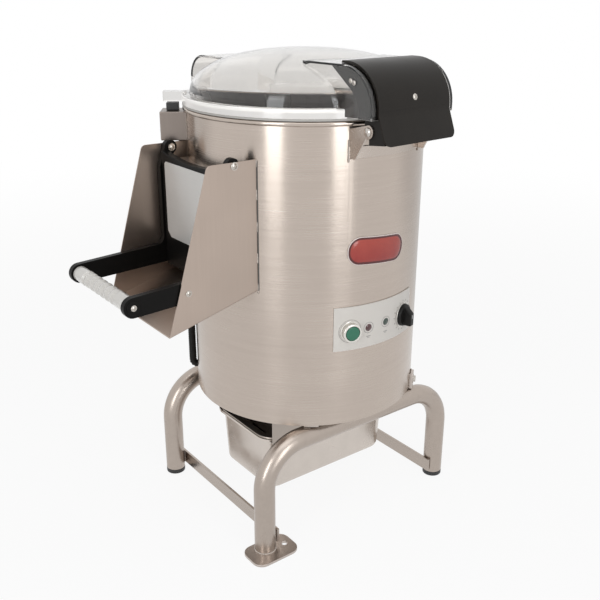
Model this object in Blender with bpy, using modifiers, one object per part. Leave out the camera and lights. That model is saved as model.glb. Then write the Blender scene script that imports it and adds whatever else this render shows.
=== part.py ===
"""Vegetable peeling machine on a tubular stand.

Frame: metres, +Z up, origin on the floor under the middle of the drum.
The control panel faces -Y and the discharge chute faces -X.
An azimuth is measured from -Y and grows towards +X.
"""
import math

import bmesh
import bpy
from mathutils import Matrix, Vector

# Driving dimensions of the whole machine
DRUM_RADIUS = 0.178
DRUM_WALL = 0.0015
DRUM_BOTTOM = 0.192
RIM_HEIGHT = 0.6375
RIM_BEAD_RADIUS = 0.0035
CHAMBER_FLOOR = 0.372
SHEET = 0.0015
STAND_HALF_LENGTH = 0.180
STAND_HALF_WIDTH = 0.139
STAND_TUBE_RADIUS = 0.016
STAND_TUBE_TOP = 0.188

# Clearances between pieces
GAP = 0.0003
RUN = 0.0006
SLIDE = 0.001
OVERRUN = 0.004
MERGE = 0.00001

# Facets of round pieces
DRUM_STEPS = 48
PLATE_STEPS = 36
ROUND_STEPS = 32
SMALL_STEPS = 20
TUBE_RESOLUTION = 6

FULL_TURN = 2.0 * math.pi

for leftover in list(bpy.data.objects):
    bpy.data.objects.remove(leftover, do_unlink=True)

machine = bpy.data.collections.new("vegetable_peeling_machine")
cutters = bpy.data.collections.new("cutters")
for group in (machine, cutters):
    bpy.context.scene.collection.children.link(group)


# Finishes

def finish(name, colour, roughness, metallic=0.0):
    made = bpy.data.materials.new(name)
    made.use_nodes = True
    shader = made.node_tree.nodes["Principled BSDF"]
    shader.inputs["Base Color"].default_value = (*colour, 1.0)
    shader.inputs["Roughness"].default_value = roughness
    shader.inputs["Metallic"].default_value = metallic
    made.diffuse_color = (*colour, 1.0)
    return made


brushed_steel = finish("brushed_steel", (0.62, 0.59, 0.56), 0.32, 1.0)
bright_steel = finish("bright_steel", (0.74, 0.73, 0.71), 0.2, 1.0)
black_plastic = finish("black_plastic", (0.025, 0.025, 0.026), 0.42)
black_rubber = finish("black_rubber", (0.02, 0.02, 0.02), 0.75)
clear_plastic = finish("clear_plastic", (0.86, 0.86, 0.84), 0.08)
grey_plastic = finish("grey_plastic", (0.62, 0.62, 0.62), 0.4)
grey_sheet = finish("grey_sheet", (0.58, 0.58, 0.58), 0.38, 0.6)
panel_film = finish("panel_film", (0.66, 0.63, 0.62), 0.45)
red_enamel = finish("red_enamel", (0.55, 0.03, 0.03), 0.3)
red_lens = finish("red_lens", (0.28, 0.02, 0.04), 0.25)
green_lens = finish("green_lens", (0.02, 0.12, 0.06), 0.25)
green_plastic = finish("green_plastic", (0.03, 0.33, 0.2), 0.35)
abrasive_grit = finish("abrasive_grit", (0.09, 0.085, 0.08), 0.9)
grey_casting = finish("grey_casting", (0.3, 0.3, 0.31), 0.55, 0.8)
motor_paint = finish("motor_paint", (0.12, 0.14, 0.17), 0.5)


# Shapes

def add(name, mesh, look):
    made = bpy.data.objects.new(name, mesh)
    mesh.materials.append(look)
    machine.objects.link(made)
    return made


def as_cutter(tool):
    machine.objects.unlink(tool)
    cutters.objects.link(tool)
    tool.hide_render = True
    tool.display_type = "WIRE"
    return tool


def boolean(target, tool, operation):
    made = target.modifiers.new(tool.name, "BOOLEAN")
    made.operation = operation
    made.solver = "EXACT"
    made.object = tool


def cut(target, *tools):
    for tool in tools:
        boolean(target, tool, "DIFFERENCE")
    return target


def unite(target, *tools):
    for tool in tools:
        boolean(target, tool, "UNION")
    return target


def keep(target, *tools):
    for tool in tools:
        boolean(target, tool, "INTERSECT")
    return target


def shaded(mesh):
    mesh.shade_smooth()
    mesh.set_sharp_from_angle(angle=math.radians(35.0))
    return mesh


def box(name, low, high, look=brushed_steel):
    low, high = Vector(low), Vector(high)
    shape = bmesh.new()
    bmesh.ops.create_cube(shape, size=1.0)
    bmesh.ops.scale(shape, vec=high - low, verts=shape.verts)
    bmesh.ops.translate(shape, vec=(high + low) / 2.0, verts=shape.verts)
    mesh = bpy.data.meshes.new(name)
    shape.to_mesh(mesh)
    shape.free()
    return add(name, mesh, look)


def rod(name, start, end, radius, look=brushed_steel, sides=SMALL_STEPS):
    start, end = Vector(start), Vector(end)
    along = end - start
    frame = Matrix.Translation((start + end) / 2.0) @ along.to_track_quat("Z", "Y").to_matrix().to_4x4()
    shape = bmesh.new()
    bmesh.ops.create_cone(
        shape, cap_ends=True, segments=sides, radius1=radius, radius2=radius,
        depth=along.length, matrix=frame)
    mesh = bpy.data.meshes.new(name)
    shape.to_mesh(mesh)
    shape.free()
    return add(name, shaded(mesh), look)


def turned(name, profile, look=brushed_steel, steps=ROUND_STEPS, frame=None):
    """A profile of (radius, height) points, down its outer side, turned about local Z."""
    points = [(radius, 0.0, height) for radius, height in profile]
    edges = [(index, index + 1) for index in range(len(points) - 1)]
    on_axis = profile[0][0] == 0.0 and profile[-1][0] == 0.0
    if not on_axis:
        edges.append((len(points) - 1, 0))
    mesh = bpy.data.meshes.new(name)
    mesh.from_pydata(points, edges, [])
    made = add(name, mesh, look)
    screw = made.modifiers.new("Turn", "SCREW")
    screw.axis = "Z"
    screw.angle = FULL_TURN
    screw.steps = steps
    screw.render_steps = steps
    screw.use_merge_vertices = True
    screw.merge_threshold = MERGE
    if frame is not None:
        made.matrix_world = frame
    return made


def as_mesh(source, frame=None):
    """Turns a curve or a piece with modifiers into a plain closed mesh."""
    bpy.context.view_layer.update()
    graph = bpy.context.evaluated_depsgraph_get()
    mesh = bpy.data.meshes.new_from_object(source.evaluated_get(graph))
    shape = bmesh.new()
    shape.from_mesh(mesh)
    bmesh.ops.remove_doubles(shape, verts=shape.verts, dist=MERGE)
    bmesh.ops.recalc_face_normals(shape, faces=shape.faces)
    shape.to_mesh(mesh)
    shape.free()
    if frame is not None:
        mesh.transform(frame)
    name = source.name
    bpy.data.objects.remove(source, do_unlink=True)
    made = bpy.data.objects.new(name, shaded(mesh))
    mesh.name = name
    machine.objects.link(made)
    return made


def flat(name, outlines, thickness, frame, look=brushed_steel):
    """A flat piece: an outline, and any holes in it, filled and given a thickness."""
    curve = bpy.data.curves.new(name, "CURVE")
    curve.dimensions = "2D"
    curve.fill_mode = "BOTH"
    curve.extrude = thickness / 2.0
    for outline in outlines:
        spline = curve.splines.new("POLY")
        spline.points.add(len(outline) - 1)
        for point, place in zip(spline.points, outline):
            point.co = (place[0], place[1], 0.0, 1.0)
        spline.use_cyclic_u = True
    curve.materials.append(look)
    made = bpy.data.objects.new(name, curve)
    machine.objects.link(made)
    return as_mesh(made, frame)


def tube(name, route, radius, look=brushed_steel, resolution=TUBE_RESOLUTION):
    curve = bpy.data.curves.new(name, "CURVE")
    curve.dimensions = "3D"
    curve.bevel_depth = radius
    curve.bevel_resolution = resolution
    curve.use_fill_caps = True
    spline = curve.splines.new("POLY")
    spline.points.add(len(route) - 1)
    for point, place in zip(spline.points, route):
        point.co = (*place, 1.0)
    curve.materials.append(look)
    made = bpy.data.objects.new(name, curve)
    machine.objects.link(made)
    return made


def join(name, pieces):
    """Puts separate closed pieces into one object, as separate bodies."""
    shape = bmesh.new()
    bpy.context.view_layer.update()
    graph = bpy.context.evaluated_depsgraph_get()
    look = pieces[0].data.materials[0]
    for piece in pieces:
        mesh = bpy.data.meshes.new_from_object(piece.evaluated_get(graph))
        mesh.transform(piece.matrix_world)
        shape.from_mesh(mesh)
        bpy.data.meshes.remove(mesh)
    bmesh.ops.remove_doubles(shape, verts=shape.verts, dist=MERGE)
    mesh = bpy.data.meshes.new(name)
    shape.to_mesh(mesh)
    shape.free()
    for piece in pieces:
        bpy.data.objects.remove(piece, do_unlink=True)
    return add(name, shaded(mesh), look)


def arc(centre, radius, start, end, steps):
    """Points on an arc about a centre, from one angle to another in degrees."""
    points = []
    for index in range(steps + 1):
        angle = math.radians(start + (end - start) * index / steps)
        points.append((centre[0] + radius * math.cos(angle), centre[1] + radius * math.sin(angle)))
    return points


def rounded_box_outline(half_width, half_height, radius, steps=4):
    outline = []
    corners = ((1, 1, 0.0), (-1, 1, 90.0), (-1, -1, 180.0), (1, -1, 270.0))
    for side, level, start in corners:
        centre = (side * (half_width - radius), level * (half_height - radius))
        outline += arc(centre, radius, start, start + 90.0, steps)
    return outline


# Frames that stand an outline up: its first axis, its second axis, and its thickness
ALONG_X = Matrix(((0, 0, 1, 0), (1, 0, 0, 0), (0, 1, 0, 0), (0, 0, 0, 1)))
ALONG_Y = Matrix(((1, 0, 0, 0), (0, 0, -1, 0), (0, 1, 0, 0), (0, 0, 0, 1)))


def turn_z(azimuth):
    return Matrix.Rotation(math.radians(azimuth), 4, "Z")


def radial_frame(azimuth, height, distance=0.0):
    """Local Z points out of the drum at an azimuth and a height."""
    out = Matrix.Rotation(math.radians(90.0), 4, "X")
    return turn_z(azimuth) @ Matrix.Translation((0.0, -distance, height)) @ out


def pivot_empty(name, place, azimuth=0.0):
    made = bpy.data.objects.new(name, None)
    machine.objects.link(made)
    made.matrix_world = turn_z(azimuth) @ Matrix.Translation(place)
    made["place"] = place
    return made


def carried(piece, pivot):
    """Hangs a piece, made in its body's own frame, on the empty at its joint's axis."""
    own = piece.matrix_world.copy()
    piece.parent = pivot
    piece.matrix_local = Matrix.Translation(-Vector(pivot["place"])) @ own
    return piece


drum_inside = DRUM_RADIUS - DRUM_WALL


# Discharge opening, chute and collar sizes, which the drum follows

PLATE_RISE = 0.0285
OPENING_RISE = 0.005
OPENING_HALF_WIDTH = 0.0767
OPENING_HEADROOM = 0.072
DOOR_PIVOT_RISE = 0.0185
COLLAR_STAND = 0.014
CHUTE_HALF_WIDTH = 0.0915
CHUTE_TOP_RISE = 0.005
CHUTE_TOP_STAND = 0.053
CHUTE_LIP_STAND = 0.1175
CHUTE_ROOT_DROP = 0.003
CHUTE_FALL = 0.037
CHUTE_CORNER = 0.008
CHUTE_BURIED_SHARE = 0.2
CUTTER_REACH_SHARE = 1.2

plate_top = CHAMBER_FLOOR + PLATE_RISE
opening_sill = plate_top + OPENING_RISE
opening_top = RIM_HEIGHT - OPENING_HEADROOM
door_pivot_height = opening_top + DOOR_PIVOT_RISE
chute_top = door_pivot_height + CHUTE_TOP_RISE
chute_root = opening_sill - CHUTE_ROOT_DROP
chute_lip = chute_root - CHUTE_FALL
collar_reach = DRUM_RADIUS + COLLAR_STAND
chute_top_reach = DRUM_RADIUS + CHUTE_TOP_STAND
chute_lip_reach = DRUM_RADIUS + CHUTE_LIP_STAND

# Controls, on one level of the drum

CONTROL_DROP = 0.030
BUTTON_AZIMUTH = -16.2
RED_LAMP_AZIMUTH = -6.3
GREEN_LAMP_AZIMUTH = 4.2
TIMER_AZIMUTH = 17.8
GREEN_LAMP_LIFT = 0.0015
BUTTON_RADIUS = 0.0104
BEZEL_RADIUS = 0.0142
BEZEL_HEIGHT = 0.0105
LAMP_RADIUS = 0.0052
TIMER_SHAFT_RADIUS = 0.0035
PANEL_THICKNESS = 0.0012
PANEL_BELOW = 0.030
PANEL_ABOVE = 0.037
PANEL_LEFT_AZIMUTH = -24.2
PANEL_RIGHT_AZIMUTH = 25.2

control_level = CHAMBER_FLOOR - CONTROL_DROP
panel_low = control_level - PANEL_BELOW
panel_top = control_level + PANEL_ABOVE
button_hole = BUTTON_RADIUS + SLIDE
lamp_hole = LAMP_RADIUS + GAP
timer_hole = TIMER_SHAFT_RADIUS + SLIDE
panel_face = DRUM_RADIUS + GAP + PANEL_THICKNESS

# Lid hinge sizes, which the bracket and the lid share

HINGE_AZIMUTH = 3.5
HOOD_OVERHANG = 0.036
HINGE_INSET = 0.0155
HINGE_DROP = 0.0075
HINGE_PIN_RADIUS = 0.004
HINGE_EAR_INSIDE = 0.0655
HINGE_EAR_THICKNESS = 0.0025
HINGE_EAR_RADIUS = 0.0092

hood_reach = DRUM_RADIUS + HOOD_OVERHANG
hinge_reach = hood_reach - HINGE_INSET
hinge_height = RIM_HEIGHT - HINGE_DROP
lid_pivot = pivot_empty("lid_pivot", (0.0, -hinge_reach, hinge_height), HINGE_AZIMUTH)

# Wiring run from the lid switch to the lower compartment

SWITCH_AZIMUTH = -124.0
CONDUIT_RADIUS = 0.0062
CONDUIT_ENTRY_HEIGHT = 0.215


def panel_holes(start, end):
    """Bores for the button, the lamps and the timer shaft, between two distances from the axis."""
    bores = (
        ("button", BUTTON_AZIMUTH, 0.0, button_hole),
        ("red_lamp", RED_LAMP_AZIMUTH, 0.0, lamp_hole),
        ("green_lamp", GREEN_LAMP_AZIMUTH, GREEN_LAMP_LIFT, lamp_hole),
        ("timer", TIMER_AZIMUTH, 0.0, timer_hole))
    tools = []
    for name, azimuth, lift, radius in bores:
        tool = rod("bore_" + name, (0.0, 0.0, start), (0.0, 0.0, end), radius)
        tool.matrix_world = radial_frame(azimuth, control_level + lift)
        tools.append(as_cutter(tool))
    return tools


# The drum: a rolled sheet with a beaded rim, open for the door and the controls

def drum_shell():
    bead_centre = (drum_inside + RIM_BEAD_RADIUS, RIM_HEIGHT)
    under_bead = math.degrees(math.acos((DRUM_RADIUS - bead_centre[0]) / RIM_BEAD_RADIUS))
    profile = arc(bead_centre, RIM_BEAD_RADIUS, 180.0, -under_bead, 8)
    profile += [(DRUM_RADIUS, DRUM_BOTTOM), (drum_inside, DRUM_BOTTOM)]
    made = turned("drum_shell", profile, brushed_steel, DRUM_STEPS)
    doorway = box(
        "doorway", (-DRUM_RADIUS - OVERRUN, -OPENING_HALF_WIDTH, opening_sill),
        (-DRUM_RADIUS / 2.0, OPENING_HALF_WIDTH, opening_top))
    cut(made, as_cutter(doorway))
    cut(made, *panel_holes(drum_inside - OVERRUN * 2.0, DRUM_RADIUS + OVERRUN))
    gland = rod(
        "gland_bore", (0.0, 0.0, drum_inside - OVERRUN), (0.0, 0.0, DRUM_RADIUS + OVERRUN),
        CONDUIT_RADIUS + GAP)
    gland.matrix_world = radial_frame(SWITCH_AZIMUTH, CONDUIT_ENTRY_HEIGHT)
    return cut(made, as_cutter(gland))


# Abrasive lining of the peeling chamber, thinner between its gritted panels

LINER_THICKNESS = 0.003
LINER_GROOVE = 0.0018
LINER_RISE = 0.0115
LINER_DROP = 0.0065
LINER_GAP_AZIMUTHS = (159.0, 99.0, 39.0, -21.0, -141.0)
LINER_GAP_WIDTH = 0.044
LINER_DOOR_MARGIN = 0.004

liner_low = plate_top + LINER_RISE
liner_top = RIM_HEIGHT - LINER_DROP
liner_outside = drum_inside - GAP
liner_inside = liner_outside - LINER_THICKNESS


def abrasive_liner():
    profile = [
        (liner_outside, liner_top), (liner_outside, liner_low),
        (liner_inside, liner_low), (liner_inside, liner_top)]
    made = turned("abrasive_liner", profile, abrasive_grit, DRUM_STEPS)
    half_door = OPENING_HALF_WIDTH + LINER_DOOR_MARGIN
    doorway = box(
        "liner_doorway", (-DRUM_RADIUS, -half_door, liner_low - OVERRUN),
        (-DRUM_RADIUS / 2.0, half_door, opening_top + LINER_DOOR_MARGIN))
    cut(made, as_cutter(doorway))
    depth = liner_inside + LINER_GROOVE
    floor_of_groove = liner_inside - OVERRUN
    low, top = liner_low - OVERRUN, liner_top + OVERRUN
    grooves = turned(
        "liner_grooves", [(depth, top), (depth, low), (floor_of_groove, low), (floor_of_groove, top)],
        abrasive_grit, DRUM_STEPS)
    windows = []
    for azimuth in LINER_GAP_AZIMUTHS:
        window = box(
            "groove_window", (-LINER_GAP_WIDTH / 2.0, -DRUM_RADIUS, low - OVERRUN),
            (LINER_GAP_WIDTH / 2.0, -DRUM_RADIUS / 2.0, top + OVERRUN))
        window.matrix_world = turn_z(azimuth)
        windows.append(window)
    keep(grooves, as_cutter(join("groove_windows", windows)))
    return cut(made, as_cutter(grooves))


# Fixed floor of the peeling chamber, with the drain

FLOOR_RIM = 0.016
SHAFT_RADIUS = 0.010
DRAIN_REACH = 0.098
DRAIN_RADIUS = 0.020
DRAIN_WALL = 0.0015
DRAIN_FLANGE = 0.008
DRAIN_END = 0.186

floor_top = CHAMBER_FLOOR + SHEET
drain_bore = DRAIN_RADIUS - DRAIN_WALL


def chamber_floor():
    rim_top = CHAMBER_FLOOR + FLOOR_RIM
    outside = drum_inside - GAP
    profile = [
        (outside, rim_top), (outside, CHAMBER_FLOOR), (SHAFT_RADIUS + RUN, CHAMBER_FLOOR),
        (SHAFT_RADIUS + RUN, floor_top), (outside - SHEET, floor_top), (outside - SHEET, rim_top)]
    made = turned("chamber_floor", profile, brushed_steel, DRUM_STEPS)
    drain = rod(
        "drain_bore", (-DRAIN_REACH, 0.0, CHAMBER_FLOOR - OVERRUN), (-DRAIN_REACH, 0.0, floor_top + OVERRUN),
        drain_bore)
    return cut(made, as_cutter(drain))


def drain_pipe():
    top = CHAMBER_FLOOR - GAP
    flange = DRAIN_RADIUS + DRAIN_FLANGE
    profile = [
        (flange, top), (flange, top - SHEET), (DRAIN_RADIUS, top - SHEET), (DRAIN_RADIUS, DRAIN_END),
        (drain_bore, DRAIN_END), (drain_bore, top)]
    made = turned("drain_pipe", profile, brushed_steel, SMALL_STEPS + 4)
    made.location.x = -DRAIN_REACH
    return made


# Closing plate under the drum

BOTTOM_PLATE_RISE = 0.002


bottom_plate_low = DRUM_BOTTOM + BOTTOM_PLATE_RISE


def bottom_plate():
    outside = drum_inside - GAP
    top = bottom_plate_low + SHEET
    profile = [(0.0, top), (outside, top), (outside, bottom_plate_low), (0.0, bottom_plate_low)]
    made = turned("bottom_plate", profile, brushed_steel, DRUM_STEPS)
    passage = rod(
        "pipe_passage", (-DRAIN_REACH, 0.0, bottom_plate_low - OVERRUN), (-DRAIN_REACH, 0.0, top + OVERRUN),
        DRAIN_RADIUS + GAP, sides=SMALL_STEPS + 4)
    return cut(made, as_cutter(passage))


# Drive: housing, seal, shaft, pulleys, belt and motor

HOUSING_RADIUS = 0.024
HOUSING_FLANGE = 0.042
HOUSING_FLANGE_THICKNESS = 0.005
HOUSING_BOTTOM = 0.288
SEAL_RADIUS = 0.019
SEAL_HEIGHT = 0.0075
SHAFT_BOTTOM = 0.218
STUD_RADIUS = 0.005
STUD_LENGTH = 0.0115
BELT_LEVEL = 0.240
BELT_HALF_HEIGHT = 0.0045
BELT_THICKNESS = 0.007
GROOVE_DEPTH = 0.008
PULLEY_CHEEK = 0.004
DRIVEN_PULLEY_RADIUS = 0.070
MOTOR_PULLEY_RADIUS = 0.019
PULLEY_HUB_RADIUS = 0.018
PULLEY_HUB_RISE = 0.016
MOTOR_REACH = 0.109
MOTOR_AZIMUTH = 126.0
MOTOR_RADIUS = 0.056
MOTOR_BOTTOM = 0.264
MOTOR_FLANGE = 0.062
MOTOR_FIN_DEPTH = 0.004
MOTOR_FIN_PITCH = 0.020
MOTOR_SHAFT_RADIUS = 0.007
MOTOR_BORE_DEPTH = 0.024
MOTOR_SHAFT_INSIDE = 0.018

motor_place = turn_z(MOTOR_AZIMUTH) @ Vector((0.0, -MOTOR_REACH, 0.0))
under_floor = CHAMBER_FLOOR - GAP


def bearing_housing():
    bore = SHAFT_RADIUS + GAP
    flange_low = under_floor - HOUSING_FLANGE_THICKNESS
    profile = [
        (HOUSING_FLANGE, under_floor), (HOUSING_FLANGE, flange_low), (HOUSING_RADIUS, flange_low),
        (HOUSING_RADIUS, HOUSING_BOTTOM), (bore, HOUSING_BOTTOM), (bore, under_floor)]
    return turned("bearing_housing", profile, grey_casting, SMALL_STEPS)


def shaft_seal():
    bore = SHAFT_RADIUS + GAP
    low = floor_top + GAP
    top = low + SEAL_HEIGHT
    lip = SEAL_RADIUS - SEAL_HEIGHT / 2.0
    profile = [(lip, top), (SEAL_RADIUS, low + SEAL_HEIGHT / 2.0), (SEAL_RADIUS, low), (bore, low), (bore, top)]
    return turned("shaft_seal", profile, black_rubber, SMALL_STEPS)


def groove_profile(radius, bore, hub_radius, hub_top, shaft_top=None):
    """A grooved pulley about its own axis, with a hub above it or a shaft of its own."""
    groove_half = BELT_HALF_HEIGHT + GAP
    top = BELT_LEVEL + groove_half + PULLEY_CHEEK
    low = BELT_LEVEL - groove_half - PULLEY_CHEEK
    rim = [
        (radius, top), (radius, BELT_LEVEL + groove_half), (radius - GROOVE_DEPTH, BELT_LEVEL + groove_half),
        (radius - GROOVE_DEPTH, BELT_LEVEL - groove_half), (radius, BELT_LEVEL - groove_half), (radius, low)]
    if shaft_top is None:
        return [(bore, hub_top), (hub_radius, hub_top), (hub_radius, top)] + rim + [(bore, low)]
    return [(0.0, shaft_top), (hub_radius, shaft_top), (hub_radius, top)] + rim + [(0.0, low)]


def driven_pulley():
    hub_top = BELT_LEVEL + BELT_HALF_HEIGHT + PULLEY_CHEEK + PULLEY_HUB_RISE
    profile = groove_profile(DRIVEN_PULLEY_RADIUS, SHAFT_RADIUS + GAP, PULLEY_HUB_RADIUS, hub_top)
    return turned("driven_pulley", profile, grey_casting, SMALL_STEPS + 4)


def motor_pulley():
    shaft_top = MOTOR_BOTTOM + MOTOR_SHAFT_INSIDE
    profile = groove_profile(MOTOR_PULLEY_RADIUS, 0.0, MOTOR_SHAFT_RADIUS, 0.0, shaft_top)
    made = turned("motor_pulley", profile, grey_casting, SMALL_STEPS)
    made.location = motor_place
    return made


def motor_housing():
    bore = MOTOR_SHAFT_RADIUS + GAP
    flange_low = under_floor - HOUSING_FLANGE_THICKNESS
    fin_foot = MOTOR_RADIUS - MOTOR_FIN_DEPTH
    profile = [
        (0.0, under_floor), (MOTOR_FLANGE, under_floor), (MOTOR_FLANGE, flange_low), (fin_foot, flange_low)]
    fin_count = int((flange_low - MOTOR_BOTTOM) / MOTOR_FIN_PITCH)
    pitch = (flange_low - MOTOR_BOTTOM) / fin_count
    for index in range(1, fin_count):
        level = flange_low - pitch * index
        profile += [
            (fin_foot, level + pitch / 4.0), (MOTOR_RADIUS, level + pitch / 4.0),
            (MOTOR_RADIUS, level - pitch / 4.0), (fin_foot, level - pitch / 4.0)]
    profile += [
        (fin_foot, MOTOR_BOTTOM), (bore, MOTOR_BOTTOM), (bore, MOTOR_BOTTOM + MOTOR_BORE_DEPTH),
        (0.0, MOTOR_BOTTOM + MOTOR_BORE_DEPTH)]
    made = turned("motor_housing", profile, motor_paint, SMALL_STEPS)
    made.location = motor_place
    return made


def belt_loop(big, small, distance, steps=18):
    """The loop round two circles whose centres lie on one line."""
    lean = math.degrees(math.acos((big - small) / distance))
    loop = arc((0.0, 0.0), big, lean, 360.0 - lean, steps * 2)
    return loop + arc((distance, 0.0), small, -lean, lean, steps)


def drive_belt():
    big = DRIVEN_PULLEY_RADIUS - GROOVE_DEPTH + GAP
    small = MOTOR_PULLEY_RADIUS - GROOVE_DEPTH + GAP
    outer = belt_loop(big + BELT_THICKNESS, small + BELT_THICKNESS, MOTOR_REACH)
    inner = belt_loop(big, small, MOTOR_REACH)
    frame = Matrix.Translation((0.0, 0.0, BELT_LEVEL)) @ turn_z(MOTOR_AZIMUTH - 90.0)
    return flat("drive_belt", [outer, inner], BELT_HALF_HEIGHT * 2.0, frame, black_rubber)


# Turning plate with three raised waves, on the drive shaft

PLATE_EDGE_GAP = 0.0027
PLATE_THICKNESS = 0.006
PLATE_HUB_RADIUS = 0.022
PLATE_HUB_DEPTH = 0.005
WAVE_HEIGHT = 0.011
WAVE_COUNT = 3
WAVE_RADIUS_SHARES = (0.16, 0.32, 0.48, 0.64, 0.8, 0.94)
WAVE_START_SHARE = 0.2
WAVE_RAMP_SHARE = 0.4
NUT_RADIUS = 0.013
NUT_SKIRT = 0.007
NUT_DOME = 0.007
NUT_DOME_SHARES = ((0.0, 1.0), (0.4, 0.92), (0.72, 0.7), (0.92, 0.38), (1.0, 0.0))

plate_radius = liner_inside - PLATE_EDGE_GAP
plate_low = plate_top - PLATE_THICKNESS
hub_low = plate_low - PLATE_HUB_DEPTH
stud_top = plate_top + STUD_LENGTH


def drive_shaft():
    shoulder = hub_low - GAP
    profile = [
        (0.0, stud_top), (STUD_RADIUS, stud_top), (STUD_RADIUS, shoulder), (SHAFT_RADIUS, shoulder),
        (SHAFT_RADIUS, SHAFT_BOTTOM), (0.0, SHAFT_BOTTOM)]
    return turned("drive_shaft", profile, bright_steel, SMALL_STEPS)


def peeling_plate():
    bore = STUD_RADIUS + GAP
    top = [(bore, plate_top)] + [(plate_radius * share, plate_top) for share in WAVE_RADIUS_SHARES]
    profile = top + [
        (plate_radius, plate_top), (plate_radius, plate_low), (PLATE_HUB_RADIUS, plate_low),
        (PLATE_HUB_RADIUS, hub_low), (bore, hub_low)]
    made = as_mesh(turned("peeling_plate", profile, abrasive_grit, PLATE_STEPS))
    half_way = (plate_top + plate_low) / 2.0
    for vertex in made.data.vertices:
        reach = math.hypot(vertex.co.x, vertex.co.y) / plate_radius
        turn = math.atan2(vertex.co.y, vertex.co.x)
        crest = max(0.0, math.cos(WAVE_COUNT * turn)) ** 2.0
        if vertex.co.z > half_way:
            ramp = min(1.0, max(0.0, (reach - WAVE_START_SHARE) / WAVE_RAMP_SHARE))
            vertex.co.z += WAVE_HEIGHT * crest * ramp
    return made


def plate_nut():
    low = plate_top + GAP
    skirt_top = low + NUT_SKIRT
    bore = STUD_RADIUS + GAP
    dome = [(NUT_RADIUS * out, skirt_top + NUT_DOME * up) for out, up in NUT_DOME_SHARES]
    blind = stud_top + GAP
    profile = dome + [(NUT_RADIUS, low), (bore, low), (bore, blind), (0.0, blind)]
    return turned("plate_nut", profile, bright_steel, SMALL_STEPS)


# Control panel, badge, button, lamps and timer

BADGE_HALF_WIDTH = 0.0506
BADGE_HALF_HEIGHT = 0.0206
BADGE_AZIMUTH = -2.1
BADGE_LEVEL = 0.458
BADGE_THICKNESS = 0.001
BADGE_END_RADIUS = 0.0195
BADGE_TURN = 4.7
BUTTON_TRAVEL = 0.004
BUTTON_STEM = 0.013
BUTTON_PROUD = 0.0006
SWITCH_BODY_RADIUS = 0.0135
SWITCH_BODY_DEPTH = 0.036
SWITCH_BODY_SETBACK = 0.0031
SWITCH_BODY_STEP = 0.0005
LENS_RISE = 0.0012
LENS_FLAT_SHARE = 0.6
LENS_FALL_SHARE = 0.25
LENS_DEPTH = 0.007
DIAL_RADIUS = 0.0195
DIAL_THICKNESS = 0.001
KNOB_SKIRT_RADIUS = 0.016
KNOB_SKIRT_HEIGHT = 0.004
KNOB_GRIP_LENGTH = 0.0296
KNOB_GRIP_THICKNESS = 0.010
KNOB_GRIP_HEIGHT = 0.0115
KNOB_POINTER_FALL = 0.0105
KNOB_NOSE = 0.001
KNOB_TURN = 90.0
TIMER_BODY_HALF = 0.019
TIMER_BODY_DEPTH = 0.036
TIMER_BODY_SETBACK = 0.0038


def curved_plate(name, outline_tool, low, top, thickness, look):
    """A sheet that lies on the drum, limited by an outline seen from outside."""
    inside = DRUM_RADIUS + GAP
    outside = inside + thickness
    profile = [(outside, top), (outside, low), (inside, low), (inside, top)]
    made = turned(name, profile, look, DRUM_STEPS)
    return keep(made, as_cutter(outline_tool))


def control_panel():
    left = math.sin(math.radians(PANEL_LEFT_AZIMUTH)) * panel_face
    right = math.sin(math.radians(PANEL_RIGHT_AZIMUTH)) * panel_face
    window = box(
        "panel_window", (left, -DRUM_RADIUS * CUTTER_REACH_SHARE, 0.0), (right, -DRUM_RADIUS / 2.0, RIM_HEIGHT))
    made = curved_plate("control_panel", window, panel_low, panel_top, PANEL_THICKNESS, panel_film)
    return cut(made, *panel_holes(DRUM_RADIUS - OVERRUN, DRUM_RADIUS + OVERRUN))


def badge_plate():
    oval = rounded_box_outline(BADGE_HALF_WIDTH, BADGE_HALF_HEIGHT, BADGE_END_RADIUS, 7)
    frame = radial_frame(BADGE_AZIMUTH, BADGE_LEVEL, DRUM_RADIUS) @ turn_z(-BADGE_TURN)
    window = flat("badge_window", [oval], DRUM_RADIUS / 2.0, frame)
    reach = BADGE_HALF_HEIGHT + BADGE_HALF_WIDTH * math.sin(math.radians(BADGE_TURN)) + OVERRUN
    return curved_plate(
        "badge_plate", window, BADGE_LEVEL - reach, BADGE_LEVEL + reach, BADGE_THICKNESS, red_enamel)


def start_bezel():
    low = panel_face + GAP
    top = low + BEZEL_HEIGHT
    bore = BUTTON_RADIUS + GAP
    edge = BEZEL_HEIGHT / 8.0
    profile = [
        (bore, top), (BEZEL_RADIUS - edge, top), (BEZEL_RADIUS, top - edge), (BEZEL_RADIUS, low), (bore, low)]
    frame = radial_frame(BUTTON_AZIMUTH, control_level)
    return turned("start_bezel", profile, bright_steel, SMALL_STEPS + 4, frame)


button_face = panel_face + GAP + BEZEL_HEIGHT + BUTTON_PROUD
button_back = button_face - BUTTON_STEM - BUTTON_TRAVEL


def start_button():
    edge = BUTTON_PROUD
    place = radial_frame(BUTTON_AZIMUTH, control_level, button_face)
    profile = [
        (0.0, 0.0), (BUTTON_RADIUS - edge, 0.0), (BUTTON_RADIUS, -edge),
        (BUTTON_RADIUS, button_back - button_face), (0.0, button_back - button_face)]
    return turned("start_button", profile, green_plastic, SMALL_STEPS + 4, place)


def start_switch_body():
    top = DRUM_RADIUS - SWITCH_BODY_SETBACK
    bore = BUTTON_RADIUS + GAP
    blind = button_back - BUTTON_TRAVEL - SWITCH_BODY_STEP
    profile = [
        (bore, top), (SWITCH_BODY_RADIUS, top), (SWITCH_BODY_RADIUS, top - SWITCH_BODY_DEPTH),
        (0.0, top - SWITCH_BODY_DEPTH), (0.0, blind), (bore, blind)]
    frame = radial_frame(BUTTON_AZIMUTH, control_level)
    return turned("start_switch_body", profile, black_plastic, SMALL_STEPS, frame)


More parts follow.
